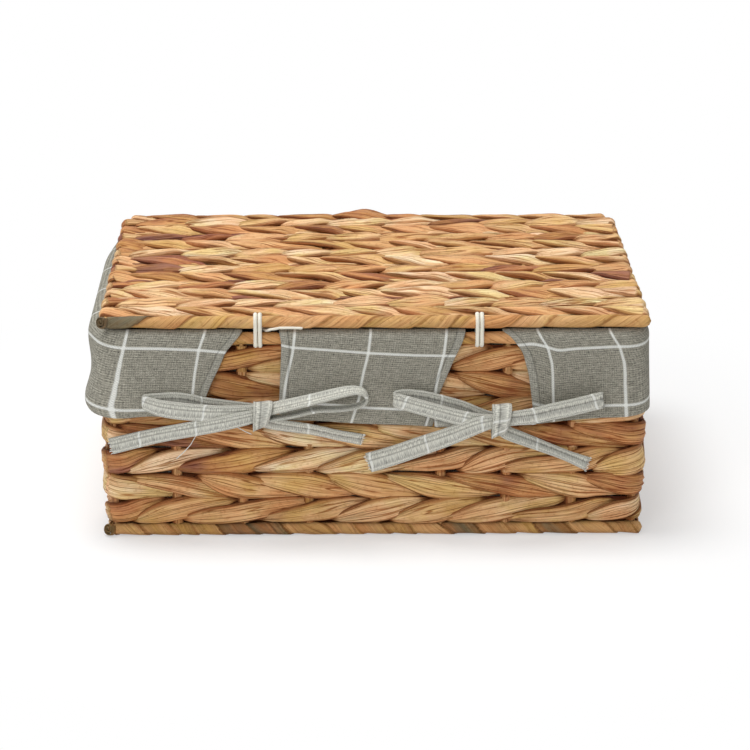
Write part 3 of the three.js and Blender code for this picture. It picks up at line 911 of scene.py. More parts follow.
def wrap_cuff():
    """The cuff from the right notch round the far side to the left notch."""

    def start(height):
        return front_length(graph(RIGHT_CUFF_EDGE, height))

    def end(height):
        return LOOP + front_length(graph(LEFT_CUFF_EDGE, height))

    def parts(length):
        """Places on the hinge side's right and left parts, and how far round a length is from them."""
        right_x = length - FRONT_MIDDLE
        left_x = length - LOOP - FRONT_MIDDLE
        on_right = 1 - np.clip((right_x - SIDE_START) / SIDE_BLEND, 0, 1)
        on_left = 1 - np.clip((-SIDE_START - left_x) / SIDE_BLEND, 0, 1)
        return right_x, left_x, on_right, on_left

    def joined(length, right_pairs, left_pairs, far):
        right_x, left_x, on_right, on_left = parts(length)
        right_value = graph(right_pairs, right_x)
        left_value = graph(left_pairs, left_x)
        return far + (right_value - far) * on_right + (left_value - far) * on_left

    def hem(length):
        return joined(length, RIGHT_HEM, LEFT_HEM, FAR_HEM + FAR_SAG * np.sin(length / FAR_WAVE))

    def line(length):
        return joined(length, RIGHT_LINE, LEFT_LINE, FAR_LINE + FAR_SAG * np.sin(length / FAR_WAVE) / 2)

    def puff(length):
        """The fold stands out round the left end."""
        left_x = length - LOOP - FRONT_MIDDLE
        rise = smooth((PUFF_START - left_x) / PUFF_RISE)
        return PUFF_HEIGHT * rise * (1 - smooth((PUFF_END - left_x) / PUFF_SETTLE))

    def flare(length, share):
        right_x, left_x, on_right, on_left = parts(length)
        left_side = gauss(left_x + LEFT_CORNER, LEFT_REACH)
        right_side = gauss(right_x - SIDE_MIDDLE, SIDE_REACH)
        swell = WRAP_SWELL + LEFT_SWELL * left_side - RIGHT_SINK * right_side
        swell = swell * share ** WRAP_SWELL_SHAPE
        tuck = -TUCK_DEPTH * left_side * np.clip((share - TUCK_START) / TUCK_REACH, 0, 1) ** 2
        wave = np.sin(length / SHORT_WAVE + SHORT_WAVE_LEAN * share)
        wave = wave + LONG_WAVE_SHARE * np.sin(length / LONG_WAVE + LONG_WAVE_SHIFT)
        loose = TIGHT_WAVE_HEIGHT + LOOSE_WAVE_HEIGHT * (1 - on_right) * (1 - on_left)
        pull = LEFT_GATHER.rise(left_x, share) + RIGHT_GATHER.rise(right_x, share)
        crease = right_x - FOLD_START - FOLD_SLOPE * share
        pleat = FOLD_HEIGHT * gauss(crease, FOLD_REACH) * gauss(share - FOLD_SHARE, FOLD_FALL)
        return swell + tuck + loose * share * wave + pull + pleat

    def check(length, height):
        right_x, left_x, on_right, on_left = parts(length)
        corner = np.clip((LEFT_CHECKS[1] - left_x) / (LEFT_CHECKS[1] - LEFT_CHECKS[0]), 0, 1)
        left_lean = graph(LEFT_LEAN, height) * (1 - corner) + graph(LEFT_CORNER_LEAN, height) * corner
        place = length - graph(RIGHT_LEAN, height) * on_right - left_lean * on_left
        marks = [front_length(x) for x in RIGHT_CHECKS] + [LOOP + front_length(x) for x in LEFT_CHECKS]
        numbers = [0, 1, 1 + CHECKS_ROUND, 2 + CHECKS_ROUND]
        first = (place - marks[0]) / (marks[1] - marks[0])
        last = numbers[3] + (place - marks[3]) / (marks[3] - marks[2])
        between = np.interp(place, marks, numbers)
        return np.where(place < marks[0], first, np.where(place > marks[3], last, between))

    grid = cuff_grid(start, end, WRAP_COLUMNS, hem, puff, flare)
    return cuff_piece("liner_cuff_wrap", grid, check, line, CHECK_HEIGHT)


BAG_TOP = RIM_Z - 2 * MM
BAG_FLOOR = 9.6 * MM
BAG_INSET = 6.2 * MM
BAG_CORNER = 14 * MM
BAG_FOOT = 9 * MM
BAG_COLUMNS = 168
BAG_WALL_ROWS = 16
BAG_FLOOR_ROWS = 9
FLOOR_SEAM = WELD_DISTANCE / 4
RING_STEPS = 8
FOOT_STEPS = 4
SAG_SHARE = 0.005
SAG_LONG = 38 * MM
SAG_SHORT = 17 * MM
SAG_SHIFT = 4
RIPPLE_HEIGHT = 0.8 * MM
RIPPLE_LENGTH = 21 * MM
RIPPLE_WIDTH = 17 * MM
RIPPLE_START = 3


def rounded_ring(half_x, half_y, radius):
    """Points evenly spaced round a rectangle with rounded corners."""
    outline = []
    for quarter, (side_x, side_y) in enumerate([(1, 1), (-1, 1), (-1, -1), (1, -1)]):
        for step in np.linspace(0, HALF_TURN / 2, RING_STEPS):
            angle = quarter * HALF_TURN / 2 + step
            outline.append((
                side_x * (half_x - radius) + radius * math.cos(angle),
                side_y * (half_y - radius) + radius * math.sin(angle),
                0,
            ))
    outline = np.array(outline + outline[:1])
    lengths = lengths_along(outline)
    at = np.linspace(0, lengths[-1], BAG_COLUMNS, endpoint=False)
    return np.stack([np.interp(at, lengths, outline[:, k]) for k in range(3)], -1), at


def bag():
    """The loose bag: walls that sag a little and a floor that lies on the base."""
    half_x = HALF_X - BAG_INSET
    half_y = HALF_Y - BAG_INSET
    rows = []
    falls = []
    outline, at = rounded_ring(half_x, half_y, BAG_CORNER)
    for share in np.linspace(0, 1, BAG_WALL_ROWS):
        ripple = 1 + np.sin(at / SAG_LONG) * np.sin(at / SAG_SHORT + SAG_SHIFT * share)
        ring = outline * (1 - SAG_SHARE * math.sin(HALF_TURN * share) * ripple[:, None])
        height = BAG_TOP + (BAG_FLOOR + BAG_FOOT - BAG_TOP) * share
        rows.append(ring + UP * height)
        falls.append(BAG_TOP - height)
    for angle in np.linspace(0, HALF_TURN / 2, FOOT_STEPS + 1)[1:]:
        inset = BAG_FOOT * (1 - math.cos(angle))
        ring, _ = rounded_ring(half_x - inset, half_y - inset, BAG_CORNER)
        rows.append(ring + UP * (BAG_FLOOR + BAG_FOOT * (1 - math.sin(angle))))
        falls.append(falls[-1] + BAG_FOOT * HALF_TURN / 2 / FOOT_STEPS)
    around = np.append(at, 2 * at[-1] - at[-2]) / CHECK_WIDTH
    uv = np.stack(np.meshgrid(around, np.array(falls) / CHECK_HEIGHT, indexing="xy"), -1)
    surface = Surface()
    surface.add(np.array(rows), uv, {"edge": 1.0}, (False, True))
    rows = rows[-1:]
    for share in np.linspace(0, 1, BAG_FLOOR_ROWS)[1:]:
        keep = 1 - share
        reach_x = (half_x - BAG_FOOT) * keep + (half_x - half_y) * share
        reach_y = (half_y - BAG_FOOT) * keep + FLOOR_SEAM * share
        ring, _ = rounded_ring(reach_x, reach_y, BAG_CORNER * keep + FLOOR_SEAM * share)
        ripple = np.sin(ring[:, 0] / RIPPLE_LENGTH + 1) * np.sin(ring[:, 1] / RIPPLE_WIDTH)
        ripple = ripple * min(1, RIPPLE_START * share)
        rows.append(ring + UP * (BAG_FLOOR + RIPPLE_HEIGHT * np.abs(ripple))[:, None])
    points = np.array(rows)
    flat_places = points[:, [*range(BAG_COLUMNS), 0], :2] / (CHECK_WIDTH, CHECK_HEIGHT)
    surface.add(points, flat_places, {"edge": 1.0}, (False, True))
    piece = surface.build("cloth_liner_bag", CLOTH, "basket", ["liner_bag"], weld=True)
    thicken(piece, CLOTH_THICKNESS)
    return piece


# Bows: strips folded from the same cloth

TIE_HALF_WIDTH = 4.6 * MM
TIE_HALF_THICK = 0.85 * MM
TIE_STEP = 1.2 * MM
TIE_SECTION = 16
TIE_FLAT = 0.4
TIE_PLEAT = 0.2
TURNED_EDGE = 5 * MM
SPLINE_STEPS = 24
STRIP_MIDDLE = 0.5
BAR_LEAN = 6 * MM
BAR_ROW = 0.3
BAR_SPREAD = 0.4


def curve_through(stations):
    """Smooth values through the stations, at even steps along their points."""
    stations = np.array(stations, float)
    padded = np.concatenate([[2 * stations[0] - stations[1]], stations, [2 * stations[-1] - stations[-2]]])
    fine = []
    for i in range(len(stations) - 1):
        a, b, c, d = padded[i:i + 4]
        for t in np.linspace(0, 1, SPLINE_STEPS, endpoint=False):
            bend = (2 * a - 5 * b + 4 * c - d) * t ** 2 + (3 * b - a - 3 * c + d) * t ** 3
            fine.append(b + 0.5 * ((c - a) * t + bend))
    fine = np.array(fine + [stations[-1]])
    lengths = lengths_along(fine[:, :3])
    at = np.linspace(0, lengths[-1], max(5, int(lengths[-1] / TIE_STEP)))
    return np.stack([np.interp(at, lengths, fine[:, k]) for k in range(fine.shape[1])], -1), lengths[-1]


def lay_check(surface, shift):
    """Gives the newest strip the check's coordinates, so that its bars cross the strip."""
    strip = surface.uv[-1]
    fold = np.abs(strip[:, 1] - STRIP_MIDDLE)
    along = (strip[:, 0] + shift * MM + BAR_LEAN * fold) / CHECK_HEIGHT
    surface.uv[-1] = np.stack([along, BAR_ROW + BAR_SPREAD * fold], -1)


def folded_edge(half_width):
    """The distance from the turned edge that lies on a strip, at the places of its section."""
    across, _ = section_places(TIE_SECTION, TIE_FLAT)
    # The seam line falls at TIE_PLEAT, so on a loop or tail its darkening is painted shade along the pleat
    return TURNED_EDGE + (across - TIE_PLEAT) * half_width[:, None]


def tie_strip(surface, stations, shift, facing):
    """Adds a strip through stations: place (mm), turn about its line (degrees) and share of its width."""
    stations = np.array(stations, float)
    stations[:, :3] *= MM
    values, length = curve_through(stations)
    centre, turn, share = values[:, :3], np.radians(values[:, 3]), values[:, 4]
    along = unit(np.gradient(centre, axis=0))
    across = unit(facing - along * (along @ facing)[:, None])
    across = across * np.cos(turn)[:, None] + np.cross(along, across) * np.sin(turn)[:, None]
    thick = np.full(len(centre), TIE_HALF_THICK)
    thick[[0, -1]] = 0
    half_width = TIE_HALF_WIDTH * share
    pleats = [TIE_PLEAT + 0 * thick]
    normal = np.cross(along, across)
    strand(surface, centre, normal, half_width, thick, {"edge": folded_edge(half_width)},
           section=TIE_SECTION, flat=TIE_FLAT, pleats=pleats)
    lay_check(surface, shift)
    return length, centre[-1], along[-1], across[-1]


THREAD_RADIUS = 0.26 * MM
THREAD_STEP = 0.8 * MM
THREAD_SECTION = 5
THREAD_ASIDE = RIGHT + 0.4 * UP
FRAY_COUNT = 11
FRAY_SPREAD = 0.95
FRAY_ROOT = 0.6 * MM
FRAY_REACH = (1.0, 2.8)
FRAY_BEND = 0.5
FRAY_MIDDLE_BEND = 0.3


def thread(surface, points):
    """A loose thread of the cloth, white as the check's lines."""
    path = even(np.array(points, float), THREAD_STEP)
    along = unit(np.gradient(path, axis=0))
    normal = unit(np.cross(along, THREAD_ASIDE))
    thin = np.full(len(path), THREAD_RADIUS)
    thin[[0, -1]] = 0
    strand(surface, path, normal, thin, thin, {"edge": 0 * thin}, THREAD_SECTION)
    surface.uv[-1] = 0 * surface.uv[-1]


def fray(surface, rng, end, along, across):
    """Short threads that stand out of a cut end."""
    for offset in np.linspace(-FRAY_SPREAD, FRAY_SPREAD, FRAY_COUNT):
        root = end + across * offset * TIE_HALF_WIDTH - along * FRAY_ROOT
        reach = rng.uniform(*FRAY_REACH) * MM
        bend = rng.uniform(-FRAY_BEND, FRAY_BEND, 3) * MM
        half_way = root + along * reach / 2 + bend * FRAY_MIDDLE_BEND
        thread(surface, [root, half_way, root + along * reach + bend])


def bow_piece(name, stations, shift, facing=UP, cut_end=False, threads=()):
    """A loop or a tail of a bow."""
    surface = Surface()
    length, end, along, across = tie_strip(surface, stations, shift, facing)
    if cut_end:
        fray(surface, chance(5, len(name), int(shift)), end, along, across)
    for points in threads:
        thread(surface, np.array(points) * MM)
    piece = surface.build(f"cloth_{name}", TIE_LIT_CLOTH, "basket", [name], weld=True)


KNOT_STEPS = 48
KNOT_Y = -127.6 * MM
KNOT_HALF_DEPTH = 5.0 * MM
KNOT_HALF_WIDTH = 5.7 * MM
KNOT_HALF_THICK = 1.6 * MM
KNOT_SKEW = 0.55
KNOT_ROUND = 0.8
KNOT_DRAW = 1.5
KNOT_NARROW = 0.92
KNOT_WIDEN = 0.12
KNOT_PLEATS = (0.45, 0.75)


def knot(name, x, z, half_height, shift, roots):
    """The band of a bow's knot, drawn down at the left of its foot, and the ties from the cuff."""
    surface = Surface()
    turn = np.linspace(0, FULL_TURN, KNOT_STEPS, endpoint=False)
    depth = KNOT_HALF_DEPTH * np.sign(np.cos(turn)) * np.abs(np.cos(turn)) ** KNOT_ROUND
    height = half_height * MM * np.sin(turn)
    foot = smooth(0.5 - 0.5 * np.sin(turn))
    centre = np.stack([(x - KNOT_DRAW * foot) * MM, KNOT_Y - depth, z * MM + height], -1)
    normal = np.stack([0 * turn, -np.cos(turn) / KNOT_HALF_DEPTH, np.sin(turn) / (half_height * MM)], -1)
    wide = KNOT_HALF_WIDTH * (KNOT_NARROW + KNOT_WIDEN * np.sin(turn))
    thick = np.full(KNOT_STEPS, KNOT_HALF_THICK)
    pleats = [spot + 0 * turn for spot in KNOT_PLEATS]
    strand(surface, centre, unit(normal), wide, thick, {"edge": folded_edge(wide)}, closed=True,
           section=TIE_SECTION, flat=TIE_FLAT, pleats=pleats)
    points = surface.points[0]
    low = smooth(0.5 - (points[:, 2] - z * MM) / (2 * half_height * MM))
    points[:, 2] += KNOT_SKEW * (points[:, 0] - x * MM) * low
    lay_check(surface, shift)
    length = lengths_along(centre)[-1] + sum(tie_strip(surface, root, shift, UP)[0] for root in roots)
    piece = surface.build(f"cloth_{name}", TIE_LIT_CLOTH, "basket", [name], weld=True)


def left_bow():
    knot("left_bow_knot", -66.8, 83.6, 6.6, 16, [
        [(-104, -121.4, 82, 0, 0.9), (-92, -123.4, 82.6, 0, 0.9), (-69, -126, 84, 0, 0.7)],
        [(-59, -121.6, 82, 0, 0.9), (-62, -123.4, 83, 0, 0.8), (-66, -126, 84, 0, 0.7)],
    ])
    bow_piece("left_bow_loop_left", [
        (-68, -128.5, 86, 0, 0.85), (-89.5, -130.5, 85.5, 0, 1), (-104.4, -130.8, 85.9, 4, 1.1),
        (-115.7, -130.4, 86.7, 5, 1.15), (-127, -129.4, 88.1, 5, 1.1), (-134, -128, 89.9, 3, 1.0),
        (-138.2, -126, 91.2, 0, 0.9), (-134, -124.2, 91, 4, 1), (-120, -123.3, 91.6, 6, 1),
        (-110, -123.2, 90.3, 5, 1),
        (-101, -123.2, 88.2, 4, 1), (-78, -124, 85.5, 0, 0.95), (-68, -125, 85, 0, 0.85),
    ], 1)
    bow_piece("left_bow_loop_right", [
        (-67, -128, 86.5, 45, 0.8), (-59.4, -128, 87.8, 37, 0.95), (-38, -128, 92.8, 28, 1),
        (-21, -128, 97.2, 23, 1),
        (-12, -128, 98.6, 14, 1), (-6.6, -128, 97, 6, 1), (-4.8, -128, 93.2, 0, 1),
        (-7.4, -128, 90.2, 0, 1),
        (-12, -128, 88.4, 0, 1), (-21, -128, 87, 0, 1), (-35, -128, 86.3, 0, 1), (-49.4, -128, 83, 0, 1),
        (-59.6, -128, 81.2, 0, 0.95), (-67, -128, 80.4, 0, 0.8),
    ], 6.6, FRONT)
    bow_piece("left_bow_tail_left", [
        (-68, -129, 84, 0, 0.8), (-78, -131.4, 82.2, 0, 0.95), (-93, -132, 79, 2, 1),
        (-107.3, -129.6, 75.4, 4, 1),
        (-127.4, -124.6, 69.9, 6, 1), (-141.8, -121.6, 65.6, 6, 1.05), (-158.7, -119.6, 60.6, 4, 1.1),
    ], 31.7, cut_end=True, threads=[
        [(-106.5, -121.5, 69.5), (-110.6, -121.5, 62.2), (-115, -120.6, 57), (-119.7, -119.8, 52.3)],
        [(-84.6, -122, 74.6), (-77.9, -121.6, 70.5), (-73.6, -121, 68.3)],
    ])
    bow_piece("left_bow_tail_right", [
        (-68, -124, 79, 0, 0.8), (-60, -121.8, 75.2, 20, 0.9), (-38, -120, 71, 30, 0.95),
        (-21, -119.3, 66.8, 30, 0.95),
        (-7.8, -118.9, 64.2, 24, 0.95),
    ], 5.1, cut_end=True)


def right_bow():
    knot("right_bow_knot", 75.8, 80, 8.2, 34, [
        [(35.5, -121.6, 76.6, 0, 0.8), (52, -123.8, 77.4, 0, 0.85), (63, -125, 76.4, 0, 1),
        (74, -126, 78, 0, 0.7)],
        [(97, -121.6, 78, 0, 0.8), (88, -123.4, 78.4, 0, 0.8), (78, -126, 79, 0, 0.7)],
    ])
    bow_piece("right_bow_loop_left", [
        (75, -128.5, 79.5, 0, 0.85), (62.7, -130.3, 80, 0, 0.95), (50.7, -130.6, 82, 4, 1),
        (36.2, -130.2, 85.9, 5, 1),
        (23.7, -129.2, 89.2, 5, 1), (15.6, -127.8, 91.2, 3, 1), (11.6, -126, 92, 0, 1),
        (14.6, -124.2, 93, 4, 1),
        (20.8, -123.4, 93, 6, 1), (29.8, -123.2, 91.8, 6, 1), (40.6, -123.2, 89, 5, 1),
        (52.4, -123.2, 85.4, 4, 1),
        (64.6, -124, 80.6, 0, 0.95), (75, -125, 79, 0, 0.85),
    ], 13.1)
    bow_piece("right_bow_loop_right", [
        (76, -128, 80.4, 0, 0.85), (85, -129.6, 81.4, 0, 1), (96, -129.6, 83, 4, 1.1),
        (106, -129, 85.2, 4, 1.15),
        (119.4, -128.4, 88, 4, 1.15), (132, -127.6, 91, 4, 1.15), (135.8, -126.2, 91.4, 0, 1.1),
        (132, -125, 89.8, 4, 1.1),
        (119, -124.8, 86.2, 4, 1.05), (104, -124.6, 82.6, 3, 1), (78, -124.8, 78, 0, 0.85),
    ], 15.1)
    bow_piece("right_bow_tail_left", [
        (74, -130, 80, 0, 0.8), (67.5, -131.8, 79.4, 0, 1), (60.3, -132.4, 77.5, 2, 1.1),
        (43.7, -129.6, 69.6, 5, 1.2),
        (28.2, -124.8, 62.2, 6, 1.27), (12, -121.4, 55.0, 6, 1.3), (-3.9, -119.6, 49.4, 5, 1.35),
    ], 24.6, cut_end=True)
    bow_piece("right_bow_tail_right", [
        (75, -127, 74, -10, 0.8), (80, -125.6, 70.2, -18, 0.9), (93, -123.4, 64.2, -28, 0.85),
        (108, -121.2, 57.4, -34, 0.75), (118, -120, 52.8, -24, 0.75), (128.8, -118.9, 47.9, -8, 0.95),
    ], 9.1, cut_end=True)


# Materials

NOISE_MIDDLE = 0.5


def colour(red, green, blue):
    """A colour given as it is seen, from 0 to 255, in the scale that shaders use."""
    seen = np.array([red, green, blue]) / 255
    linear = np.where(seen <= 0.04045, seen / 12.92, ((seen + 0.055) / 1.055) ** 2.4)
    return (*linear, 1.0)


class Nodes:
    """Adds nodes to a tree. Inputs are plain values or the outputs of other nodes."""

    def __init__(self, tree):
        self.tree = tree

    def node(self, kind, inputs=(), **settings):
        made = self.tree.nodes.new(f"ShaderNode{kind}")
        for key, value in settings.items():
            setattr(made, key, value)
        for key, value in dict(inputs).items():
            self.feed(made.inputs[key], value)
        return made

    def feed(self, socket, value):
        if isinstance(value, bpy.types.NodeSocket):
            self.tree.links.new(value, socket)
        else:
            socket.default_value = value

    def math(self, operation, first, second=0.0):
        return self.node("Math", {0: first, 1: second}, operation=operation).outputs[0]

    def times(self, *values):
        product = values[0]
        for value in values[1:]:
            product = self.math("MULTIPLY", product, value)
        return product

    def plus(self, *values):
        total = values[0]
        for value in values[1:]:
            total = self.math("ADD", total, value)
        return total

    def value(self, name):
        return self.node("Attribute", attribute_name=name).outputs["Fac"]

    def surface_place(self):
        place = self.node("UVMap", uv_map="surface").outputs[0]
        split = self.node("SeparateXYZ", {0: place}).outputs
        return split[0], split[1]

    def object_place(self):
        return self.node("TexCoord").outputs["Object"]

    def point(self, x, y, z=0.0):
        return self.node("CombineXYZ", {0: x, 1: y, 2: z}).outputs[0]

    def noise(self, vector, scale, detail=3.0, rough=0.55):
        inputs = {"Vector": vector, "Scale": scale, "Detail": detail, "Roughness": rough}
        return self.node("TexNoise", inputs).outputs["Fac"]

    def stretched(self, along, around, along_scale, around_scale, apart, detail=3.0):
        """Noise drawn out along a strand."""
        place = self.point(self.times(along, along_scale), self.times(around, around_scale), apart)
        return self.noise(place, 1.0, detail, 0.6)

    def step(self, value, low, high, start=0.0, end=1.0):
        inputs = {"Value": value, "From Min": low, "From Max": high, "To Min": start, "To Max": end}
        return self.node("MapRange", inputs, interpolation_type="SMOOTHSTEP").outputs[0]

    def centred(self, noise):
        return self.math("SUBTRACT", noise, NOISE_MIDDLE)

    def line(self, noise, width):
        """0 on the lines where a noise crosses its middle, 1 away from them."""
        return self.step(self.math("ABSOLUTE", self.centred(noise)), 0.0, width)

    def mix(self, share, first, second, blend="MIX"):
        made = self.node("Mix", data_type="RGBA", blend_type=blend)
        self.feed(made.inputs[0], share)
        self.feed(made.inputs[6], first)
        self.feed(made.inputs[7], second)
        return made.outputs[2]

    def shaded(self, base, light, warmth=0.0):
        """The base made lighter or darker. With warmth, its darks keep more red and less blue."""
        red = self.math("POWER", light, 1 - warmth)
        blue = self.math("POWER", light, 1 + warmth)
        shade = self.node("CombineColor", {0: red, 1: light, 2: blue}).outputs[0]
        return self.mix(1.0, base, shade, "MULTIPLY")

    def ramp(self, value, stops):
        made = self.node("ValToRGB", {0: value})
        band = made.color_ramp.elements
        band[0].position, band[0].color = stops[0]
        band[1].position, band[1].color = stops[-1]
        for place, shade in stops[1:-1]:
            band.new(place).color = shade
        return made.outputs[0]


class Shader(Nodes):
    """A material's nodes, which end in its surface."""

    def __init__(self, name):
        self.material = bpy.data.materials.new(name)
        self.material.use_nodes = True
        super().__init__(self.material.node_tree)
        self.surface = self.tree.nodes["Principled BSDF"]

    def finish(self, base, rough, bump_height, bump_depth, shine, sheen=0.0):
        bump = self.node("Bump", {"Strength": 1.0, "Distance": bump_depth, "Height": bump_height}).outputs[0]
        inputs = {"Base Color": base, "Roughness": rough, "Normal": bump, "Specular IOR Level": shine,
                  "Sheen Weight": sheen}
        for key, value in inputs.items():
            self.feed(self.surface.inputs[key], value)
        return self.material


STRAND_STOPS = [
    (0.0, colour(138, 90, 80)), (0.13, colour(166, 112, 86)), (0.22, colour(190, 132, 86)),
    (0.34, colour(214, 160, 104)), (0.5, colour(228, 180, 124)), (0.7, colour(238, 196, 144)),
    (0.88, colour(246, 212, 165)), (1.0, colour(254, 231, 194)),
]
ROLL_STOPS = [
    (0.0, colour(120, 114, 92)), (0.12, colour(140, 124, 92)), (0.3, colour(182, 134, 84)),
    (0.5, colour(216, 166, 106)), (0.75, colour(230, 182, 122)), (1.0, colour(240, 200, 146)),
]


HUE_STOPS = [(0.38, colour(255, 240, 236)), (0.5, colour(255, 255, 255)), (0.62, colour(248, 252, 226))]
DARK_WARMTH = 0.36
CREASE_WIDTH = 0.035
THIN_WIDTH = 0.05
SPECK_SCALE = 420.0
SPECK_DETAIL = 2.0
PATCH_REACH = 0.8
FIBRE_DARK = 0.39
FIBRE_LIGHT = 1.07
SPECK_LIGHT = (0.3, 0.45, 0.8, 1.0)
# Painted shade: how a strand's light value, low where it goes under others, darkens its colour
PAINTED_SHADE_STEP = (0.05, 0.75, 0.24, 1.0)
CREASE_HEIGHT = 0.9
THIN_HEIGHT = 0.4
STEM_ROUGH = 0.5
FIBRE_ROUGH = 0.25
STEM_BUMP = 0.4 * MM
STEM_SHINE = 0.25


@dataclass
class Grain:
    """Noise on a stem: its scale along and round it, how far stems differ, and its detail."""

    along: float
    around: float
    apart: float
    detail: float = 3.0


FIBRE = Grain(55.0, 44.0, 31.0, 5.0)
CREASE = Grain(12.0, 15.0, 17.0, 0.8)
THIN_CREASE = Grain(18.0, 34.0, 23.0, 1.0)
PATCH = Grain(26.0, 2.4, 41.0)
HUE = Grain(24.0, 1.6, 53.0)


def hyacinth(name, stops, crease_and_edge_shade, edge_shade_start, fine=1.0):
    """Dried stems: lengthwise fibres, mottled patches, dark crease lines that are partly the stems' own
    streaks and partly painted shade in their folds, painted shade along each strand's edges and where strands
    go under each other.
    """
    shader = Shader(name)
    along, around = shader.surface_place()
    tone = shader.value("tone")

    def drawn(grain, finer=1.0):
        apart = shader.times(tone, grain.apart)
        return shader.stretched(along, around, grain.along, grain.around * finer, apart, grain.detail)

    fibre = drawn(FIBRE, fine)
    crease = shader.line(drawn(CREASE, fine), CREASE_WIDTH)
    thin = shader.line(drawn(THIN_CREASE, fine), THIN_WIDTH)
    speck = shader.noise(shader.object_place(), SPECK_SCALE, SPECK_DETAIL)
    shade = shader.plus(tone, shader.times(shader.centred(drawn(PATCH)), PATCH_REACH))
    base = shader.ramp(shade, stops)
    base = shader.mix(1.0, base, shader.ramp(drawn(HUE), HUE_STOPS), "MULTIPLY")
    rim = shader.math("ABSOLUTE", shader.math("COSINE", shader.times(around, FULL_TURN)))
    # Painted shade: the light is lowered along the crease lines, near the strand's edges and where its light
    # value is low, that is towards leaf tips that go under a neighbour, in the cores and on the stake wraps
    light = shader.times(
        shader.plus(FIBRE_DARK, shader.times(fibre, FIBRE_LIGHT)),
        shader.step(crease, 0.0, 1.0, crease_and_edge_shade, 1.0),
        shader.step(thin, 0.0, 1.0, (1 + crease_and_edge_shade) / 2, 1.0),
        shader.step(speck, *SPECK_LIGHT),
        shader.step(shader.value("painted_light"), *PAINTED_SHADE_STEP),
        shader.step(rim, edge_shade_start, 1.0, 1.0, crease_and_edge_shade),
    )
    base = shader.shaded(base, light, DARK_WARMTH)
    height = shader.plus(fibre, shader.times(crease, CREASE_HEIGHT), shader.times(thin, THIN_HEIGHT))
    rough = shader.plus(STEM_ROUGH, shader.times(fibre, FIBRE_ROUGH))
    return shader.finish(base, rough, height, STEM_BUMP, STEM_SHINE)


CLOTH_GREY = colour(144, 141, 129)
# Painted light: the ties are the liner's own cloth, given a lighter grey for the light that falls on them
TIE_LIT_GREY = colour(188, 187, 177)
CHECK_WHITE = colour(232, 233, 228)
RIB_PITCH = 1.4 * MM
CHECK_HALF_LINE = 0.8 * MM
LINE_FUZZ = 0.35 * MM
LINE_WANDER = 0.9
LINE_LIGHT = 0.76
LINE_WEAVE = 0.2
LINE_COVER = 0.95
SLUB_ACROSS = (0.22, 1.2, 0.0)
SLUB_DOWN = (1.2, 0.24, 5.0)
CLOTH_GRAIN = (1.4, 3.0, 0.7)
CLOTH_DARK = -0.25
SLUB_DARK = 1.3
SLUB_LIGHT = 1.6
GRAIN_LIGHT = 2.5
RIB_LIGHT = 0.2
WARP_LIGHT = 0.1
SEAM_NEAR = 0.3 * MM
SEAM_FAR = 0.7 * MM
TURNED_LIGHT = 0.07
WEAVE_HEIGHT = 0.25
GRAIN_HEIGHT = 0.7
SEAM_HEIGHT = 0.5
CLOTH_ROUGH = 0.9
CLOTH_BUMP = 0.35 * MM
CLOTH_SHINE = 0.12
CLOTH_SHEEN = 0.06


def cloth(name, grey, slub, seam_and_pleat_shade):
    """Plain weave with slubs and a thin white windowpane check. A seam runs along the notch edges; its darker
    line is a stitched seam on the cuffs and painted shade along the pleat on the ties.
    """
    shader = Shader(name)
    across, down = shader.surface_place()
    across_mm = shader.times(across, CHECK_WIDTH / MM)
    down_mm = shader.times(down, CHECK_HEIGHT / MM)
    slub_across = shader.stretched(across_mm, down_mm, *SLUB_ACROSS)
    slub_down = shader.stretched(across_mm, down_mm, *SLUB_DOWN)
    grain = shader.noise(shader.point(across_mm, down_mm), *CLOTH_GRAIN)
    ribs = shader.math("SINE", shader.times(down_mm, FULL_TURN * MM / RIB_PITCH))
    warp = shader.math("SINE", shader.times(across_mm, FULL_TURN * MM / RIB_PITCH))
    light = shader.plus(
        CLOTH_DARK - SLUB_DARK * slub,
        shader.times(slub_across, SLUB_LIGHT * slub),
        shader.times(slub_down, slub),
        shader.times(grain, GRAIN_LIGHT),
        shader.times(ribs, RIB_LIGHT),
        shader.times(warp, WARP_LIGHT),
    )
    base = shader.shaded(grey, light)
    wander = shader.times(shader.centred(grain), LINE_WANDER)
    lines = []
    for place, pitch in ((across, CHECK_WIDTH), (down, CHECK_HEIGHT)):
        gap = shader.plus(shader.times(shader.math("PINGPONG", place, 0.5), pitch / MM), wander)
        outer, inner = (CHECK_HALF_LINE + LINE_FUZZ) / MM, (CHECK_HALF_LINE - LINE_FUZZ) / MM
        lines.append(shader.step(gap, outer, inner))
    woven = shader.plus(LINE_LIGHT, shader.times(ribs, warp, LINE_WEAVE))
    check = shader.math("MINIMUM", shader.times(shader.plus(*lines), woven), LINE_COVER)
    base = shader.mix(check, base, CHECK_WHITE)
    edge = shader.value("edge")
    from_seam = shader.math("ABSOLUTE", shader.math("SUBTRACT", edge, TURNED_EDGE))
    seam = shader.step(from_seam, SEAM_NEAR, SEAM_FAR)
    turned = shader.step(edge, TURNED_EDGE + SEAM_NEAR, TURNED_EDGE - SEAM_NEAR)
    base = shader.mix(shader.times(turned, TURNED_LIGHT), base, CHECK_WHITE)
    # The seam line is darkened: a stitched seam on the cuffs, painted shade along the pleat on the ties
    base = shader.shaded(base, shader.step(seam, 0.0, 1.0, seam_and_pleat_shade, 1.0))
    weave = shader.times(ribs, warp, WEAVE_HEIGHT)
    height = shader.plus(weave, shader.times(grain, GRAIN_HEIGHT), shader.times(seam, SEAM_HEIGHT))
    return shader.finish(base, CLOTH_ROUGH, height, CLOTH_BUMP, CLOTH_SHINE, CLOTH_SHEEN)


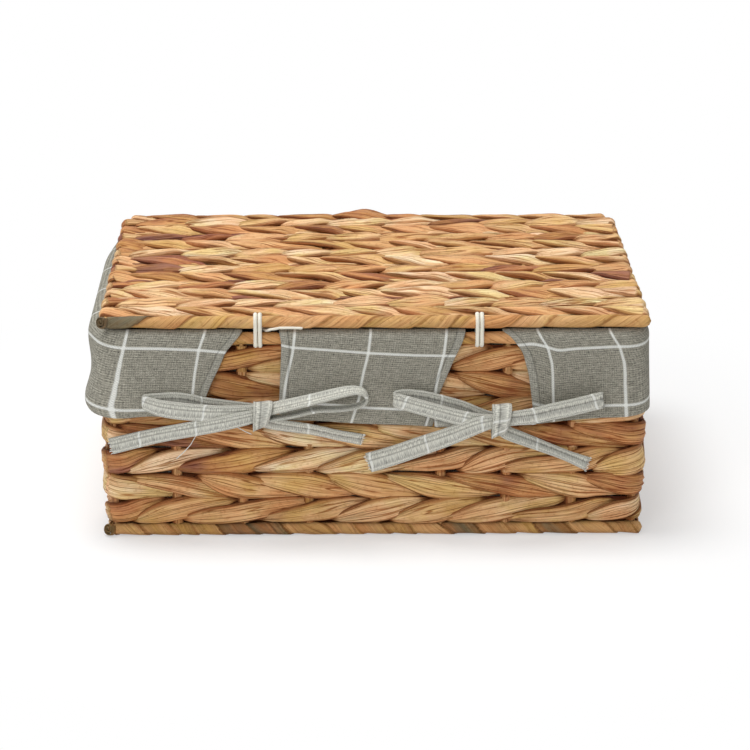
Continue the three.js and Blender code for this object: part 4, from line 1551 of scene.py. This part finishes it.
COTTON_FIBRE = (900.0, 6.0, 0.0)
COTTON_ROUGH = 0.9
COTTON_BUMP = 0.15 * MM
COTTON_SHINE = 0.1
COTTON_SHEEN = 0.1
WIRE_ROUGH = 0.7
WIRE_BUMP = 0.3 * MM
WIRE_SHINE = 0.2
WIRE_DETAIL = 4.0


def cotton():
    shader = Shader("cotton_cord")
    along, around = shader.surface_place()
    fibre = shader.stretched(along, around, *COTTON_FIBRE)
    base = shader.mix(fibre, colour(226, 220, 203), colour(254, 251, 238))
    return shader.finish(base, COTTON_ROUGH, fibre, COTTON_BUMP, COTTON_SHINE, COTTON_SHEEN)


def wire():
    """The frame's wires, covered with strips of the same stems."""
    shader = Shader("covered_wire")
    streak = shader.noise(shader.object_place(), SPECK_SCALE, WIRE_DETAIL)
    base = shader.mix(streak, colour(160, 116, 68), colour(222, 176, 116))
    return shader.finish(base, WIRE_ROUGH, streak, WIRE_BUMP, WIRE_SHINE)


# The two numbers after the stops set the painted shade in the creases and along the edges, and where that
# edge shade begins
HYACINTH = hyacinth("hyacinth_strand", STRAND_STOPS, 0.32, 0.62)
ROLL = hyacinth("hyacinth_wrap", ROLL_STOPS, 0.7, 0.97, 1.7)
CLOTH = cloth("check_cloth", CLOTH_GREY, 1.0, 0.72)
# Painted light: the liner's cloth in a lighter grey, for the light on the ties
TIE_LIT_CLOTH = cloth("tie_lit_cloth", TIE_LIT_GREY, 0.2, 0.66)
COTTON = cotton()


# The box

FAR_EDGE_INSET = 4.5 * MM


def build_basket():
    for number in range(1, WALL_COURSES + 1):
        wall_course(number)
    for number in range(1, BASE_COURSES + 1):
        lean = 1 if number % 2 else -1
        flat_course(f"base_course_{number}", number, LONG_BAYS, HALF_X, BASE_LEAF, lean, "basket", -UP)
    rim_roll()
    straight_roll("base_roll_hinge_side", 1, "basket", 1, BASE_ROLL_PITCH, base_tones, 0.26)
    straight_roll("base_roll_far_side", 2, "basket", 1, BASE_ROLL_PITCH, base_tones, 0.3)


def build_lid():
    for number in range(1, LID_COURSES + 1):
        lean = -1 if number % 2 else 1
        flat_course(f"lid_course_{number}", number, LID_BAYS, LID_WIRE_X, LID_LEAF, lean, "lid", UP)
    straight_roll("lid_roll_hinge_side", 3, "lid", -1, LID_ROLL_PITCH, lid_edge_tones, 0.1)
    flat_course("lid_roll_far_side", LID_COURSES + 1, LID_BAYS, LID_WIRE_X - FAR_EDGE_INSET, EDGE_LEAF, -1,
                "lid", UP, raised_strand)


def build_hinges():
    hinge_cord("left", [
        (-68.5, -106, 131.2), (-65, -112.5, 131.2), (-62, -117, 133.2), (-56.5, -118.6, 134.7),
        (-49, -118.8, 134.8),
        (-43, -119, 134.6),
    ])
    hinge_cord("right")


def build_liner():
    center_cuff()
    wrap_cuff()
    bag()
    left_bow()
    right_bow()


def paint_wires():
    material = wire()
    for name in ("basket_wire_frame", "lid_wire_frame"):
        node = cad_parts[name]
        node.data.materials.clear()
        node.data.materials.append(material)


# Floor, light and camera

FLOOR_HALF = 6.0
FLOOR_PALE = (0.95, 0.95, 0.95, 1)
FLOOR_ROUGH = 0.9
FLOOR_SHINE = 0.05
WHITE = (1, 1, 1, 1)
SHADOW_NEAR = 0.2
SHADOW_FAR = 0.4
SHADOW_SOFTEN = 0.44
AMBIENT = 0.43
KEY_LIGHT = {"place": (-0.32, 0.05, 1.75), "target": (0, 0, 0.1), "width": 0.8, "power": 20}
FILL_LIGHT = {"place": (-0.7, -1.6, 1.0), "target": (0, 0, 0.08), "width": 1.1, "power": 9}
CAMERA_PLACE = (-30.84 * MM, -1678.8 * MM, 636.1 * MM)
CAMERA_TILT = 71.205
CAMERA_YAW = -1.133
CAMERA_ROLL = 0.181
CAMERA_LENS = 132.46
CAMERA_SENSOR = 36.0


def seen_directly(shader):
    """1 for what is seen straight on, in gloss or through glass, and 0 for what lights the object."""
    path = shader.node("LightPath").outputs
    seen = shader.math("MAXIMUM", path["Is Camera Ray"], path["Is Glossy Ray"])
    return shader.math("MAXIMUM", seen, path["Is Transmission Ray"])


def floor():
    """A pale floor that keeps the shadow near the box and is white further off."""
    mesh = bpy.data.meshes.new("floor")
    corners = [(x * FLOOR_HALF, y * FLOOR_HALF, 0) for x, y in ((-1, -1), (1, -1), (1, 1), (-1, 1))]
    mesh.from_pydata(corners, [], [(0, 1, 2, 3)])
    shader = Shader("pale_floor")
    look = {"Base Color": FLOOR_PALE, "Roughness": FLOOR_ROUGH, "Specular IOR Level": FLOOR_SHINE}
    for key, value in look.items():
        shader.feed(shader.surface.inputs[key], value)
    reach = shader.node("VectorMath", {0: shader.object_place()}, operation="LENGTH").outputs["Value"]
    far = shader.times(shader.step(reach, SHADOW_NEAR, SHADOW_FAR, SHADOW_SOFTEN, 1.0), seen_directly(shader))
    glow = shader.node("Emission", {"Color": WHITE, "Strength": 1.0}).outputs[0]
    blend = shader.node("MixShader", {0: far, 1: shader.surface.outputs[0], 2: glow}).outputs[0]
    shader.feed(shader.tree.nodes["Material Output"].inputs["Surface"], blend)
    mesh.materials.append(shader.material)
    piece = bpy.data.objects.new("floor", mesh)
    bpy.context.scene.collection.objects.link(piece)


def area_light(name, place, target, width, power):
    light = bpy.data.lights.new(name, "AREA")
    light.shape = "DISK"
    light.size = width
    light.energy = power
    lamp = bpy.data.objects.new(name, light)
    lamp.location = place
    lamp.rotation_euler = (Vector(target) - Vector(place)).to_track_quat("-Z", "Y").to_euler()
    bpy.context.scene.collection.objects.link(lamp)


def world_light():
    world = bpy.data.worlds.new("studio")
    bpy.context.scene.world = world
    world.use_nodes = True
    nodes = Nodes(world.node_tree)
    background = nodes.tree.nodes["Background"].inputs
    background["Color"].default_value = WHITE
    strength = nodes.node("Mix", {0: seen_directly(nodes), 2: AMBIENT, 3: 1.0}).outputs[0]
    nodes.feed(background["Strength"], strength)


def camera():
    data = bpy.data.cameras.new("camera")
    data.lens = CAMERA_LENS
    data.sensor_width = CAMERA_SENSOR
    eye = bpy.data.objects.new("camera", data)
    turn = Matrix()
    for angle, axis in ((CAMERA_YAW, "Z"), (CAMERA_TILT, "X"), (CAMERA_ROLL, "Z")):
        turn = turn @ Matrix.Rotation(math.radians(angle), 4, axis)
    eye.matrix_world = Matrix.Translation(CAMERA_PLACE) @ turn
    bpy.context.scene.collection.objects.link(eye)
    bpy.context.scene.camera = eye


def stage():
    floor()
    world_light()
    area_light("key", **KEY_LIGHT)
    area_light("fill", **FILL_LIGHT)
    camera()
    bpy.context.scene.view_settings.view_transform = "Standard"


build_basket()
build_lid()
build_hinges()
build_liner()
paint_wires()
stage()
bpy.context.view_layer.update()
